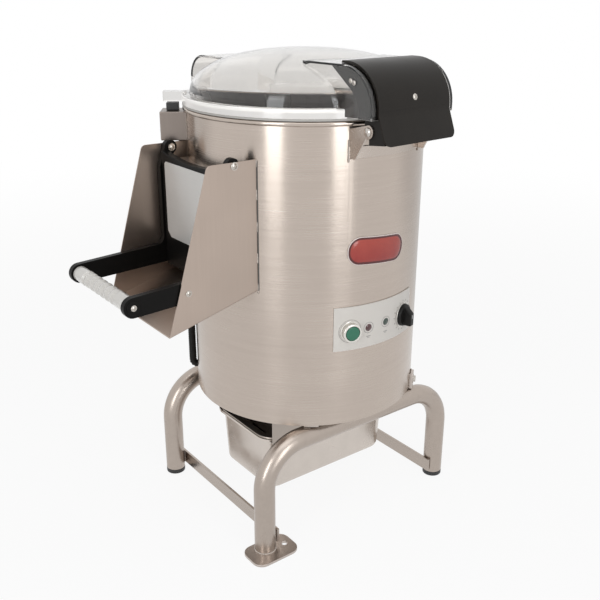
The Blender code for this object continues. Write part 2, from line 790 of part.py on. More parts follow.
def lamp(name, azimuth, lift, look):
    top = panel_face + LENS_RISE
    profile = [
        (0.0, top), (LAMP_RADIUS * LENS_FLAT_SHARE, top - LENS_RISE * LENS_FALL_SHARE),
        (LAMP_RADIUS, top - LENS_RISE),
        (LAMP_RADIUS, top - LENS_RISE - LENS_DEPTH), (0.0, top - LENS_RISE - LENS_DEPTH)]
    return turned(name, profile, look, SMALL_STEPS, radial_frame(azimuth, control_level + lift))


def timer_dial():
    low = panel_face + GAP
    top = low + DIAL_THICKNESS
    profile = [(DIAL_RADIUS, top), (DIAL_RADIUS, low), (timer_hole, low), (timer_hole, top)]
    frame = radial_frame(TIMER_AZIMUTH, control_level)
    return turned("timer_dial", profile, bright_steel, SMALL_STEPS + 4, frame)


def timer_knob():
    """A round skirt with a wing across it, whose pointer end falls from its front to the skirt."""
    low = panel_face + GAP + DIAL_THICKNESS + GAP
    skirt_top = low + KNOB_SKIRT_HEIGHT
    shaft_low = DRUM_RADIUS - TIMER_BODY_SETBACK + GAP
    edge = KNOB_SKIRT_HEIGHT / 4.0
    profile = [
        (0.0, skirt_top), (KNOB_SKIRT_RADIUS - edge, skirt_top), (KNOB_SKIRT_RADIUS, skirt_top - edge),
        (KNOB_SKIRT_RADIUS, low), (TIMER_SHAFT_RADIUS, low), (TIMER_SHAFT_RADIUS, shaft_low), (0.0, shaft_low)]
    place = radial_frame(TIMER_AZIMUTH, control_level) @ turn_z(KNOB_TURN)
    made = turned("timer_knob", profile, black_plastic, SMALL_STEPS + 4, place)
    half, base, front = KNOB_GRIP_LENGTH / 2.0, skirt_top - KNOB_SKIRT_HEIGHT / 2.0, skirt_top + KNOB_GRIP_HEIGHT
    outline = [
        (-half, base), (half, base), (half, skirt_top + KNOB_NOSE), (half - KNOB_POINTER_FALL, front), (-half, front)]
    grip = flat("knob_grip", [outline], KNOB_GRIP_THICKNESS, Matrix.Rotation(math.radians(90.0), 4, "X"))
    grip.matrix_world = place
    return unite(made, as_cutter(grip))


def timer_body():
    front = DRUM_RADIUS - TIMER_BODY_SETBACK
    made = box(
        "timer_body", (-TIMER_BODY_HALF, -TIMER_BODY_HALF, front - TIMER_BODY_DEPTH),
        (TIMER_BODY_HALF, TIMER_BODY_HALF, front), black_plastic)
    made.matrix_world = radial_frame(TIMER_AZIMUTH, control_level)
    return made


# Discharge chute: two cheeks and a sloping floor folded from one sheet

DOOR_PIVOT_STAND = 0.010
PIVOT_SCREW_RADIUS = 0.003
PIVOT_HEAD_RADIUS = 0.0055
PIVOT_HEAD_HEIGHT = 0.003
SCREW_CROWN_SHARE = 0.7
CATCH_STAND = 0.0863
CATCH_RISE = 0.0177
CATCH_SCREW_RADIUS = 0.0025
CATCH_HEAD_RADIUS = 0.0045
CATCH_HEAD_HEIGHT = 0.0025

catch_height = opening_sill + CATCH_RISE
catch_reach = DRUM_RADIUS + CATCH_STAND
door_pivot_reach = DRUM_RADIUS + DOOR_PIVOT_STAND
chute_inside = CHUTE_HALF_WIDTH - SHEET


def drum_core(name):
    """The drum's outside as a solid, which pieces that lie against it are cut by."""
    top = (0.0, 0.0, RIM_HEIGHT * CUTTER_REACH_SHARE)
    return as_cutter(rod(name, (0.0, 0.0, 0.0), top, DRUM_RADIUS + GAP, sides=DRUM_STEPS))


def cheek_outline(rise, beyond):
    root = math.sqrt(DRUM_RADIUS ** 2.0 - CHUTE_HALF_WIDTH ** 2.0)
    slope = (chute_root - chute_lip) / (chute_lip_reach - root)
    far = root - DRUM_RADIUS * CHUTE_BURIED_SHARE - beyond
    lip = chute_lip_reach + beyond
    top_front = chute_top_reach + beyond
    corner = (-top_front + CHUTE_CORNER, chute_top + beyond - CHUTE_CORNER)
    outline = [
        (-far, chute_root + slope * (root - far) + rise),
        (-far, chute_top + beyond)]
    outline += arc(corner, CHUTE_CORNER, 90.0, 165.0, 4)
    outline.append((-lip, chute_lip - slope * beyond + rise))
    return outline


def chute_channel():
    made = flat("chute_channel", [cheek_outline(0.0, 0.0)], CHUTE_HALF_WIDTH * 2.0, ALONG_Y)
    hollow = flat("chute_hollow", [cheek_outline(SHEET, OVERRUN * 2.0)], chute_inside * 2.0, ALONG_Y)
    cut(made, as_cutter(hollow), drum_core("chute_drum"))
    for side in (-1.0, 1.0):
        for reach, height, radius in (
                (door_pivot_reach, door_pivot_height, PIVOT_SCREW_RADIUS),
                (catch_reach, catch_height, CATCH_SCREW_RADIUS)):
            bore = rod(
                "cheek_bore", (-reach, side * (chute_inside - OVERRUN), height),
                (-reach, side * (CHUTE_HALF_WIDTH + OVERRUN), height), radius + GAP, sides=12)
            cut(made, as_cutter(bore))
    return made


def side_frame(side, reach, height):
    """Local Z points out of the chute to one side."""
    return Matrix.Translation((-reach, 0.0, height)) @ Matrix.Rotation(math.radians(-90.0 * side), 4, "X")


# Collar round the opening, which the door closes on

def opening_collar():
    half = OPENING_HALF_WIDTH + SHEET
    low, top = opening_sill - SHEET, opening_top + SHEET
    far = DRUM_RADIUS / 2.0
    made = box("opening_collar", (-collar_reach, -half, low), (-far, half, top))
    hollow = box(
        "collar_hollow", (-collar_reach - OVERRUN, -OPENING_HALF_WIDTH, opening_sill),
        (-far + OVERRUN, OPENING_HALF_WIDTH, opening_top))
    return cut(made, as_cutter(hollow), drum_core("collar_drum"))


# Door: a moulded panel with a plate on it, between two cranked arms joined by a grip

ARM_OUTSIDE = 0.0885
ARM_THICKNESS = 0.009
ARM_FRONT_STAND = 0.029
ARM_BOSS_RADIUS = 0.010
ARM_HEIGHT = 0.028
ARM_ELBOW_RADIUS = 0.012
GRIP_STAND = 0.165
GRIP_RISE = 0.0145
GRIP_RADIUS = 0.0112
GRIP_WAIST = 0.0012
GRIP_RIB = 0.0012
GRIP_RIB_COUNT = 6
GRIP_RIBBED_SHARE = 0.55
DOOR_PANEL_THICKNESS = 0.012
DOOR_PANEL_DROP = 0.012
DOOR_PANEL_SILL_GAP = 0.003
DOOR_PLATE_THICKNESS = 0.002
DOOR_PLATE_HALF_WIDTH = 0.067
DOOR_PLATE_DROP = 0.017
DOOR_PLATE_RISE = 0.0495
DOOR_PLATE_CHAMFER = 0.009

arm_inside = ARM_OUTSIDE - ARM_THICKNESS
arm_back = collar_reach + GAP
arm_front = DRUM_RADIUS + ARM_FRONT_STAND
grip_reach = DRUM_RADIUS + GRIP_STAND
grip_level = opening_sill + GRIP_RISE
door_panel_top = door_pivot_height - DOOR_PANEL_DROP
door_panel_low = opening_sill + DOOR_PANEL_SILL_GAP
door_plate_top = door_pivot_height - DOOR_PLATE_DROP
door_plate_low = opening_sill + DOOR_PLATE_RISE
door_pivot = pivot_empty("door_pivot", (-door_pivot_reach, 0.0, door_pivot_height))


def pivot_screw(name, side):
    """A shoulder screw through the cheek and the boss of the arm, with its nut inside."""
    cheek = CHUTE_HALF_WIDTH + GAP
    nut_face = arm_inside - GAP
    nut_end = nut_face - PIVOT_HEAD_HEIGHT
    profile = [
        (0.0, cheek + PIVOT_HEAD_HEIGHT), (PIVOT_HEAD_RADIUS * SCREW_CROWN_SHARE, cheek + PIVOT_HEAD_HEIGHT),
        (PIVOT_HEAD_RADIUS, cheek + PIVOT_HEAD_HEIGHT / 3.0), (PIVOT_HEAD_RADIUS, cheek),
        (PIVOT_SCREW_RADIUS, cheek), (PIVOT_SCREW_RADIUS, nut_face), (PIVOT_HEAD_RADIUS, nut_face),
        (PIVOT_HEAD_RADIUS, nut_end), (0.0, nut_end)]
    return turned(name, profile, bright_steel, 12, side_frame(side, door_pivot_reach, door_pivot_height))


def catch_screw(name, side):
    """A spring plunger in the cheek, whose tip bears on the arm of the closed door."""
    cheek = CHUTE_HALF_WIDTH + GAP
    tip = ARM_OUTSIDE + GAP
    profile = [
        (0.0, cheek + CATCH_HEAD_HEIGHT), (CATCH_HEAD_RADIUS * SCREW_CROWN_SHARE, cheek + CATCH_HEAD_HEIGHT),
        (CATCH_HEAD_RADIUS, cheek + CATCH_HEAD_HEIGHT / 3.0), (CATCH_HEAD_RADIUS, cheek),
        (CATCH_SCREW_RADIUS, cheek), (CATCH_SCREW_RADIUS, tip), (0.0, tip)]
    return turned(name, profile, bright_steel, 12, side_frame(side, catch_reach, catch_height))


def door_arm(name, side):
    end_radius = ARM_HEIGHT / 2.0
    end = (-grip_reach, grip_level)
    heel = door_panel_low + ARM_HEIGHT / 8.0
    elbow = (-arm_front - ARM_ELBOW_RADIUS, heel + ARM_HEIGHT + ARM_ELBOW_RADIUS)
    outline = arc((-door_pivot_reach, door_pivot_height), ARM_BOSS_RADIUS, -60.0, 180.0, 12)
    outline.append((-arm_front, door_plate_top - ARM_BOSS_RADIUS))
    outline += arc(elbow, ARM_ELBOW_RADIUS, 0.0, -90.0, 4)
    outline += arc(end, end_radius, 90.0, 270.0, 10)
    outline.append((-arm_back, heel))
    outline.append((-arm_back, door_panel_top - ARM_BOSS_RADIUS))
    centre = Matrix.Translation((0.0, side * (arm_inside + ARM_THICKNESS / 2.0), 0.0))
    made = flat(name, [outline], ARM_THICKNESS, centre @ ALONG_Y, black_plastic)
    inner, outer = side * (arm_inside - OVERRUN), side * (ARM_OUTSIDE + OVERRUN)
    bore = rod(
        "arm_bore", (-door_pivot_reach, inner, door_pivot_height),
        (-door_pivot_reach, outer, door_pivot_height),
        PIVOT_SCREW_RADIUS + GAP, sides=12)
    cut(made, as_cutter(bore))
    carried(bore, door_pivot)
    return carried(made, door_pivot)


def door_panel():
    half = arm_inside - GAP
    front = arm_back + DOOR_PANEL_THICKNESS
    made = box(
        "door_panel", (-front, -half, door_panel_low), (-arm_back, half, door_panel_top), black_plastic)
    return carried(made, door_pivot)


def door_plate():
    back = arm_back + DOOR_PANEL_THICKNESS + GAP
    half, cutoff = DOOR_PLATE_HALF_WIDTH, DOOR_PLATE_CHAMFER
    outline = [
        (-half + cutoff, door_plate_low), (half - cutoff, door_plate_low),
        (half, door_plate_low + cutoff), (half, door_plate_top - cutoff / 3.0),
        (half - cutoff / 3.0, door_plate_top), (-half + cutoff / 3.0, door_plate_top),
        (-half, door_plate_top - cutoff / 3.0), (-half, door_plate_low + cutoff)]
    frame = Matrix.Translation((-back - DOOR_PLATE_THICKNESS / 2.0, 0.0, 0.0)) @ ALONG_X
    return carried(flat("door_plate", [outline], DOOR_PLATE_THICKNESS, frame, grey_sheet), door_pivot)


def door_grip():
    half = arm_inside - GAP
    ribbed = half * GRIP_RIBBED_SHARE
    steps = GRIP_RIB_COUNT * 2
    profile = [(0.0, half), (GRIP_RADIUS, half), (GRIP_RADIUS, ribbed)]
    for index in range(1, steps):
        along = ribbed - 2.0 * ribbed * index / steps
        wave = math.sin(math.pi * GRIP_RIB_COUNT * index / steps) ** 2.0
        profile.append((GRIP_RADIUS - GRIP_WAIST + GRIP_RIB * wave, along))
    profile += [(GRIP_RADIUS, -ribbed), (GRIP_RADIUS, -half), (0.0, -half)]
    made = turned("door_grip", profile, grey_plastic, 16, side_frame(1.0, grip_reach, grip_level))
    return carried(made, door_pivot)


# Hinge bracket: a strap on the drum with an ear folded out at each end

STRAP_DROP = 0.0305
STRAP_HEIGHT = 0.016
STRAP_THICKNESS = 0.002
EAR_ROOT_RISE = 0.010

strap_top = RIM_HEIGHT - STRAP_DROP
strap_low = strap_top - STRAP_HEIGHT
ear_outside = HINGE_EAR_INSIDE + HINGE_EAR_THICKNESS


def hinge_bracket():
    lid_turn = turn_z(HINGE_AZIMUTH)
    strap_half = ear_outside - GAP
    low = (-strap_half, -DRUM_RADIUS * CUTTER_REACH_SHARE, 0.0)
    high = (strap_half, -DRUM_RADIUS / 2.0, RIM_HEIGHT)
    window = box("strap_window", low, high)
    window.matrix_world = lid_turn
    made = curved_plate("hinge_bracket", window, strap_low, strap_top, STRAP_THICKNESS, bright_steel)
    ear_round = arc((-hinge_reach, hinge_height), HINGE_EAR_RADIUS, 100.0, 290.0, 10)
    root = math.sqrt(DRUM_RADIUS ** 2.0 - ear_outside ** 2.0) - OVERRUN
    outline = [(-root, strap_low), (-root, hinge_height)] + ear_round
    outline.append((-DRUM_RADIUS - STRAP_THICKNESS, strap_top - EAR_ROOT_RISE))
    outline.append((-DRUM_RADIUS + OVERRUN, strap_low))
    for side in (-1.0, 1.0):
        middle = side * (HINGE_EAR_INSIDE + HINGE_EAR_THICKNESS / 2.0)
        frame = Matrix.Translation((middle, 0.0, 0.0)) @ ALONG_X
        ear = flat("hinge_ear", [outline], HINGE_EAR_THICKNESS, frame)
        bore = rod(
            "ear_bore", (middle - OVERRUN, -hinge_reach, hinge_height),
            (middle + OVERRUN, -hinge_reach, hinge_height),
            HINGE_PIN_RADIUS + GAP, sides=16)
        ear.matrix_world = lid_turn
        bore.matrix_world = lid_turn
        unite(made, as_cutter(ear))
        cut(made, as_cutter(bore))
    return cut(made, drum_core("bracket_drum"))


PIN_HEAD_RADIUS = 0.0062
PIN_HEAD_HEIGHT = 0.003
PIN_CROWN_SHARE = 0.8


def hinge_pin():
    face = ear_outside + GAP
    end = face + PIN_HEAD_HEIGHT
    profile = [
        (0.0, end), (PIN_HEAD_RADIUS * PIN_CROWN_SHARE, end), (PIN_HEAD_RADIUS, face + PIN_HEAD_HEIGHT / 2.0),
        (PIN_HEAD_RADIUS, face), (HINGE_PIN_RADIUS, face), (HINGE_PIN_RADIUS, -face), (PIN_HEAD_RADIUS, -face),
        (PIN_HEAD_RADIUS, -end), (0.0, -end)]
    place = turn_z(HINGE_AZIMUTH) @ Matrix.Translation((0.0, -hinge_reach, hinge_height))
    place = place @ Matrix.Rotation(math.radians(90.0), 4, "Y")
    return turned("hinge_pin", profile, bright_steel, 16, place)


# Clear lid: a dome with a rim band, a hood over the hinge, a lug opposite it and a tab over the switch

LID_WALL = 0.003
LID_OVERHANG = 0.0055
LID_SEAT_RISE = 0.007
LID_BAND_HEIGHT = 0.0155
LID_SHOULDER = 0.0115
LID_DOME_HEIGHT = 0.061
LID_FULLNESS = 2.25
TAB_HALF_WIDTH = 0.010
TAB_REACH = 0.211
TAB_THICKNESS = 0.014
HOOD_HALF_WIDTH = 0.078
HOOD_DROP = 0.009
HOOD_ROUND = 0.056
LUG_HALF_WIDTH = 0.068
LUG_OVERHANG = 0.026
LUG_DROP = 0.018
LUG_ROUND = 0.034
HOOD_LIFT = 0.002
HOOD_ROOT_SHARE = 0.45
GASKET_WIDTH = 0.0042

lid_band_radius = DRUM_RADIUS + LID_OVERHANG
lid_band_low = RIM_HEIGHT + LID_SEAT_RISE
lid_band_top = lid_band_low + LID_BAND_HEIGHT
lid_dome_radius = lid_band_radius - LID_SHOULDER
lid_apex = lid_band_top + LID_DOME_HEIGHT
hood_top = lid_apex - HOOD_DROP
lug_reach = DRUM_RADIUS + LUG_OVERHANG
lug_top = lid_apex - LUG_DROP


def dome_profile(inset, band_low):
    """The dome from its apex, round its shoulder and down its band, drawn in by an inset."""
    radius = lid_dome_radius - inset
    base = lid_band_top - inset
    height = lid_apex - lid_band_top
    power = 2.0 / LID_FULLNESS
    points = [(0.0, base + height)]
    steps = 7
    for index in range(1, steps + 1):
        angle = math.pi / 2.0 * (1.0 - index / steps)
        points.append((radius * math.cos(angle) ** power, base + height * max(0.0, math.sin(angle)) ** power))
    band = lid_band_radius - inset
    edge = (band - radius) / 4.0
    points += [(band - edge, base), (band, base - edge), (band, band_low), (0.0, band_low)]
    return points


def raised_outline(direction, reach, top, corner, low, inset):
    """Side outline of the hood or the lug, drawn in by an inset, as (y, z) points."""
    reach, top, corner = reach - inset, top - inset, corner - inset
    root = lid_band_radius * HOOD_ROOT_SHARE
    outline = [(direction * root, low), (direction * root, top)]
    for out, up in arc((reach - corner, top - corner), corner, 90.0, 0.0, 7):
        outline.append((direction * out, up))
    outline.append((direction * reach, low))
    return outline


def lid_shell():
    hood_low = lid_band_low + HOOD_LIFT
    made = turned("lid_shell", dome_profile(0.0, lid_band_low), clear_plastic, DRUM_STEPS)
    hood = flat(
        "hood", [raised_outline(-1.0, hood_reach, hood_top, HOOD_ROUND, hood_low, 0.0)],
        HOOD_HALF_WIDTH * 2.0, ALONG_X)
    lug = flat(
        "lug", [raised_outline(1.0, lug_reach, lug_top, LUG_ROUND, hood_low, 0.0)],
        LUG_HALF_WIDTH * 2.0, ALONG_X)
    below = lid_band_low - OVERRUN
    inside = turned("dome_inside", dome_profile(LID_WALL, below), clear_plastic, DRUM_STEPS)
    hood_inside = flat(
        "hood_inside", [raised_outline(-1.0, hood_reach, hood_top, HOOD_ROUND, below, LID_WALL)],
        (HOOD_HALF_WIDTH - LID_WALL) * 2.0, ALONG_X)
    lug_inside = flat(
        "lug_inside", [raised_outline(1.0, lug_reach, lug_top, LUG_ROUND, below, LID_WALL)],
        (LUG_HALF_WIDTH - LID_WALL) * 2.0, ALONG_X)
    tab_low = lid_band_low + HOOD_LIFT / 2.0
    tab = box(
        "switch_tab", (-TAB_HALF_WIDTH, -TAB_REACH, tab_low),
        (TAB_HALF_WIDTH, -lid_band_radius + LID_WALL * 2.0, tab_low + TAB_THICKNESS))
    tab.matrix_world = turn_z(SWITCH_AZIMUTH - HINGE_AZIMUTH)
    unite(made, as_cutter(hood), as_cutter(lug), as_cutter(tab))
    cut(made, as_cutter(inside), as_cutter(hood_inside), as_cutter(lug_inside))
    for piece in (made, hood, lug, tab, inside, hood_inside, lug_inside):
        carried(piece, lid_pivot)
    return made


def lid_gasket():
    top = lid_band_low - GAP
    low = RIM_HEIGHT + RIM_BEAD_RADIUS + GAP
    outside = lid_band_radius
    inside = outside - GASKET_WIDTH
    profile = [(outside, top), (outside, low), (inside, low), (inside, top)]
    return carried(turned("lid_gasket", profile, black_rubber, DRUM_STEPS), lid_pivot)


# Hinge block in the hood, and the cover sheet over the hood

BLOCK_TOP_DEPTH = 0.076
BLOCK_SHOULDER_DEPTH = 0.038
BLOCK_SHOULDER_DROP = 0.032
BLOCK_FOOT_DEPTH = 0.0255
BLOCK_KNEE_RISE = 0.0155
BARREL_RADIUS = 0.0088
SKIRT_DROP = 0.002
SKIRT_INSET = 0.001
COVER_THICKNESS = 0.003
COVER_HALF_WIDTH = 0.068
COVER_TOP_DEPTH = 0.067
COVER_BEND_RISE = 0.0145
COVER_LIP_FLARE = 0.015
COVER_LIP_DROP = 0.023
COVER_CORNER = 0.010

block_low = lid_band_low + HOOD_LIFT
cover_bend = RIM_HEIGHT + COVER_BEND_RISE
cover_lip = RIM_HEIGHT - COVER_LIP_DROP
cover_reach = hood_reach + COVER_LIP_FLARE


def cover_slope():
    """How far the cover's lip leans out for each unit of height below its bend."""
    return (cover_reach - hood_reach) / (cover_bend - cover_lip)


def hinge_block():
    inset = LID_WALL + GAP
    reach, top, corner = hood_reach - inset, hood_top - inset, HOOD_ROUND - inset
    foot = hood_reach - BLOCK_FOOT_DEPTH
    outline = [(-hood_reach + BLOCK_TOP_DEPTH, top)]
    outline += [(-out, up) for out, up in arc((reach - corner, top - corner), corner, 90.0, 0.0, 7)]
    outline += [
        (-reach, block_low), (-foot, block_low), (-foot, block_low + BLOCK_KNEE_RISE),
        (-hood_reach + BLOCK_SHOULDER_DEPTH, hood_top - BLOCK_SHOULDER_DROP)]
    half = HOOD_HALF_WIDTH - LID_WALL - GAP
    made = flat("hinge_block", [outline], half * 2.0, ALONG_X, black_plastic)
    barrel_half = HINGE_EAR_INSIDE - RUN
    neck = box(
        "barrel_neck", (-barrel_half, -hinge_reach - BARREL_RADIUS, hinge_height),
        (barrel_half, -hinge_reach + BARREL_RADIUS, block_low + OVERRUN))
    lip, slope = cover_reach - SKIRT_INSET * 2.0, cover_slope()
    skirt_top = block_low - SKIRT_INSET
    skirt_outline = [
        (-hinge_reach, cover_lip - SKIRT_DROP), (-hinge_reach, skirt_top),
        (-lip + slope * (skirt_top - cover_lip), skirt_top),
        (-lip + slope * SKIRT_INSET, cover_lip + SKIRT_INSET)]
    skirt = flat("block_skirt", [skirt_outline], barrel_half * 2.0, ALONG_X)
    barrel = rod(
        "barrel", (-barrel_half, -hinge_reach, hinge_height), (barrel_half, -hinge_reach, hinge_height),
        BARREL_RADIUS)
    bore = rod(
        "barrel_bore", (-barrel_half - OVERRUN, -hinge_reach, hinge_height),
        (barrel_half + OVERRUN, -hinge_reach, hinge_height), HINGE_PIN_RADIUS + GAP, sides=16)
    unite(made, as_cutter(neck), as_cutter(skirt), as_cutter(barrel))
    cut(made, as_cutter(bore))
    for piece in (made, neck, skirt, barrel, bore):
        carried(piece, lid_pivot)
    return made


def cover_path(offset):
    """The cover's side line at an offset from the hood, from its top edge to its lip."""
    reach, top, corner = hood_reach + offset, hood_top + offset, HOOD_ROUND + offset
    path = [(-hood_reach + COVER_TOP_DEPTH, top)]
    path += [(-out, up) for out, up in arc((reach - corner, top - corner), corner, 90.0, 0.0, 8)]
    path.append((-reach, cover_bend))
    path.append((-cover_reach - offset + GAP, cover_lip))
    return path


def hinge_cover():
    inner = cover_path(GAP)
    outer = cover_path(GAP + COVER_THICKNESS)
    made = flat("hinge_cover", [outer + inner[::-1]], COVER_HALF_WIDTH * 2.0, ALONG_X, black_plastic)
    middle = (cover_lip + hood_top + OVERRUN * 2.0) / 2.0
    window_outline = rounded_box_outline(COVER_HALF_WIDTH, middle - cover_lip, COVER_CORNER)
    frame = Matrix.Translation((0.0, -DRUM_RADIUS, middle)) @ ALONG_Y
    window = flat("cover_window", [window_outline], DRUM_RADIUS, frame)
    keep(made, as_cutter(window))
    carried(window, lid_pivot)
    return carried(made, lid_pivot)


# Lid switch on the drum, its sensor, and its wiring conduit

SWITCH_DEPTH = 0.038
SWITCH_HALF_WIDTH = 0.022
SWITCH_DROP = 0.0055
SENSOR_HALF_WIDTH = 0.008
SENSOR_INSET = 0.009
SENSOR_DEPTH = 0.018
SENSOR_HEIGHT = 0.011
CONDUIT_BEND = 0.0075
CONDUIT_STANDOFF = 0.0018

switch_low = chute_top + SLIDE
switch_top = RIM_HEIGHT - SWITCH_DROP


def switch_box():
    made = box(
        "switch_box", (-SWITCH_HALF_WIDTH, -DRUM_RADIUS - SWITCH_DEPTH, switch_low),
        (SWITCH_HALF_WIDTH, -DRUM_RADIUS / 2.0, switch_top), brushed_steel)
    made.matrix_world = turn_z(SWITCH_AZIMUTH)
    return cut(made, drum_core("switch_drum"))


def switch_sensor():
    low = switch_top + GAP
    front = DRUM_RADIUS + SWITCH_DEPTH - SENSOR_INSET
    made = box(
        "switch_sensor", (-SENSOR_HALF_WIDTH, -front, low),
        (SENSOR_HALF_WIDTH, -front + SENSOR_DEPTH, low + SENSOR_HEIGHT), black_plastic)
    made.matrix_world = turn_z(SWITCH_AZIMUTH)
    return made


def cable_conduit():
    centre = DRUM_RADIUS + CONDUIT_RADIUS + CONDUIT_STANDOFF
    top = switch_low - GAP
    bend_centre = (centre - CONDUIT_BEND, CONDUIT_ENTRY_HEIGHT + CONDUIT_BEND)
    route = [(0.0, -centre, top)]
    route += [(0.0, -out, up) for out, up in arc(bend_centre, CONDUIT_BEND, 0.0, -90.0, 5)]
    route.append((0.0, -drum_inside + CONDUIT_BEND * 2.0, CONDUIT_ENTRY_HEIGHT))
    made = tube("cable_conduit", route, CONDUIT_RADIUS, black_rubber, 3)
    made.matrix_world = turn_z(SWITCH_AZIMUTH)
    return made


# Stand: two bent tubes, two cross bars, foot plates, foot caps and brackets

STAND_BEND = 0.066
CAP_HEIGHT = 0.008
CAP_EDGE = 0.0015
FOOT_PLATE_THICKNESS = 0.004
FOOT_PLATE_HALF_LENGTH = 0.0388
FOOT_PLATE_HALF_WIDTH = 0.0255
FOOT_PLATE_CORNER = 0.016
FOOT_PLATE_SHIFT_X = 0.005
FOOT_PLATE_SHIFT_Y = 0.008
FOOT_HOLE_RADIUS = 0.0045
FOOT_HOLE_OFFSET = 0.025
BAR_THICKNESS = 0.004
BAR_BOTTOM = 0.0125
BAR_TOP = 0.035
BAR_OVERHANG = 0.009
BRACKET_AZIMUTH = 40.2
BRACKET_THICKNESS = 0.005
BRACKET_HALF_WIDTH = 0.011
BRACKET_HEIGHT = 0.026
PAD_DEPTH = 0.016
PAD_INSET = 0.001


def stand_tube(name, side, left_end, right_end):
    """One bent tube along X, with the height of the floor end of each leg."""
    level = STAND_TUBE_TOP - STAND_TUBE_RADIUS
    bend = STAND_HALF_LENGTH - STAND_BEND
    y = side * STAND_HALF_WIDTH
    route = [(-STAND_HALF_LENGTH, y, left_end)]
    route += [(x, y, z) for x, z in arc((-bend, level - STAND_BEND), STAND_BEND, 180.0, 90.0, 6)]
    route += [(x, y, z) for x, z in arc((bend, level - STAND_BEND), STAND_BEND, 90.0, 0.0, 6)]
    route.append((STAND_HALF_LENGTH, y, right_end))
    return tube(name, route, STAND_TUBE_RADIUS, bright_steel)


cap_end = CAP_HEIGHT + GAP
plate_end = FOOT_PLATE_THICKNESS + GAP


def foot_cap(name, side_x, side_y):
    profile = [
        (0.0, CAP_HEIGHT), (STAND_TUBE_RADIUS, CAP_HEIGHT), (STAND_TUBE_RADIUS, CAP_EDGE),
        (STAND_TUBE_RADIUS - CAP_EDGE, 0.0), (0.0, 0.0)]
    made = turned(name, profile, black_rubber, SMALL_STEPS)
    made.location = (side_x * STAND_HALF_LENGTH, side_y * STAND_HALF_WIDTH, 0.0)
    return made


def foot_plate(name, side):
    """The plate under one leg, shifted towards the middle and outwards, with a fixing hole."""
    outline = rounded_box_outline(FOOT_PLATE_HALF_LENGTH, FOOT_PLATE_HALF_WIDTH, FOOT_PLATE_CORNER)
    hole = arc((-side * FOOT_HOLE_OFFSET, side * GAP), FOOT_HOLE_RADIUS, 0.0, 330.0, 11)
    x = side * (STAND_HALF_LENGTH - FOOT_PLATE_SHIFT_X)
    y = side * (STAND_HALF_WIDTH + FOOT_PLATE_SHIFT_Y)
    frame = Matrix.Translation((x, y, FOOT_PLATE_THICKNESS / 2.0))
    return flat(name, [outline, hole], FOOT_PLATE_THICKNESS, frame, bright_steel)


def cross_bar(name, side):
    face = STAND_HALF_LENGTH - STAND_TUBE_RADIUS - GAP
    half = STAND_HALF_WIDTH + BAR_OVERHANG
    near, far = sorted((side * face, side * (face - BAR_THICKNESS)))
    return box(name, (near, -half, BAR_BOTTOM), (far, half, BAR_TOP), bright_steel)


def mount_bracket(name, azimuth):
    low = STAND_TUBE_TOP + GAP
    made = box(
        name, (-BRACKET_HALF_WIDTH, -DRUM_RADIUS - GAP - BRACKET_THICKNESS, low),
        (BRACKET_HALF_WIDTH, -DRUM_RADIUS - GAP, low + BRACKET_HEIGHT), brushed_steel)
    made.matrix_world = turn_z(azimuth)
    return made


def mount_pad(name):
    """A block inside the drum's wall, from the crown of the front tube to the bottom plate."""
    outside = drum_inside - PAD_INSET
    middle = outside - PAD_DEPTH / 2.0
    made = box(
        name, (-BRACKET_HALF_WIDTH, -outside, STAND_TUBE_TOP + GAP),
        (BRACKET_HALF_WIDTH, PAD_DEPTH - outside, bottom_plate_low - GAP), brushed_steel)
    made.matrix_world = turn_z(-math.degrees(math.acos(STAND_HALF_WIDTH / middle)))
    return made


# Waste pan on two rails under the drum, with a filter basket in it

PAN_HALF_LENGTH = 0.1325
PAN_HALF_WIDTH = 0.081
PAN_RIM_UNDERSIDE = 0.1405
PAN_RIM_WIDTH = 0.0075
PAN_DEPTH = 0.0988
PAN_WALL = 0.0012
PAN_TAPER = 0.0045
PAN_CORNER = 0.022
PAN_FOOT_ROUND = 0.010
RAIL_HALF_LENGTH = 0.125
RAIL_LEDGE = 0.007
RAIL_FOOT = 0.011
BASKET_DEPTH = 0.045
BASKET_RIM = 0.010
BASKET_SLOT_HALF_WIDTH = 0.0016
BASKET_SLOT_COUNT = 9
BASKET_SLOT_MARGIN = 0.030

rail_web = PAN_HALF_WIDTH + SLIDE
ledge_top = PAN_RIM_UNDERSIDE - GAP


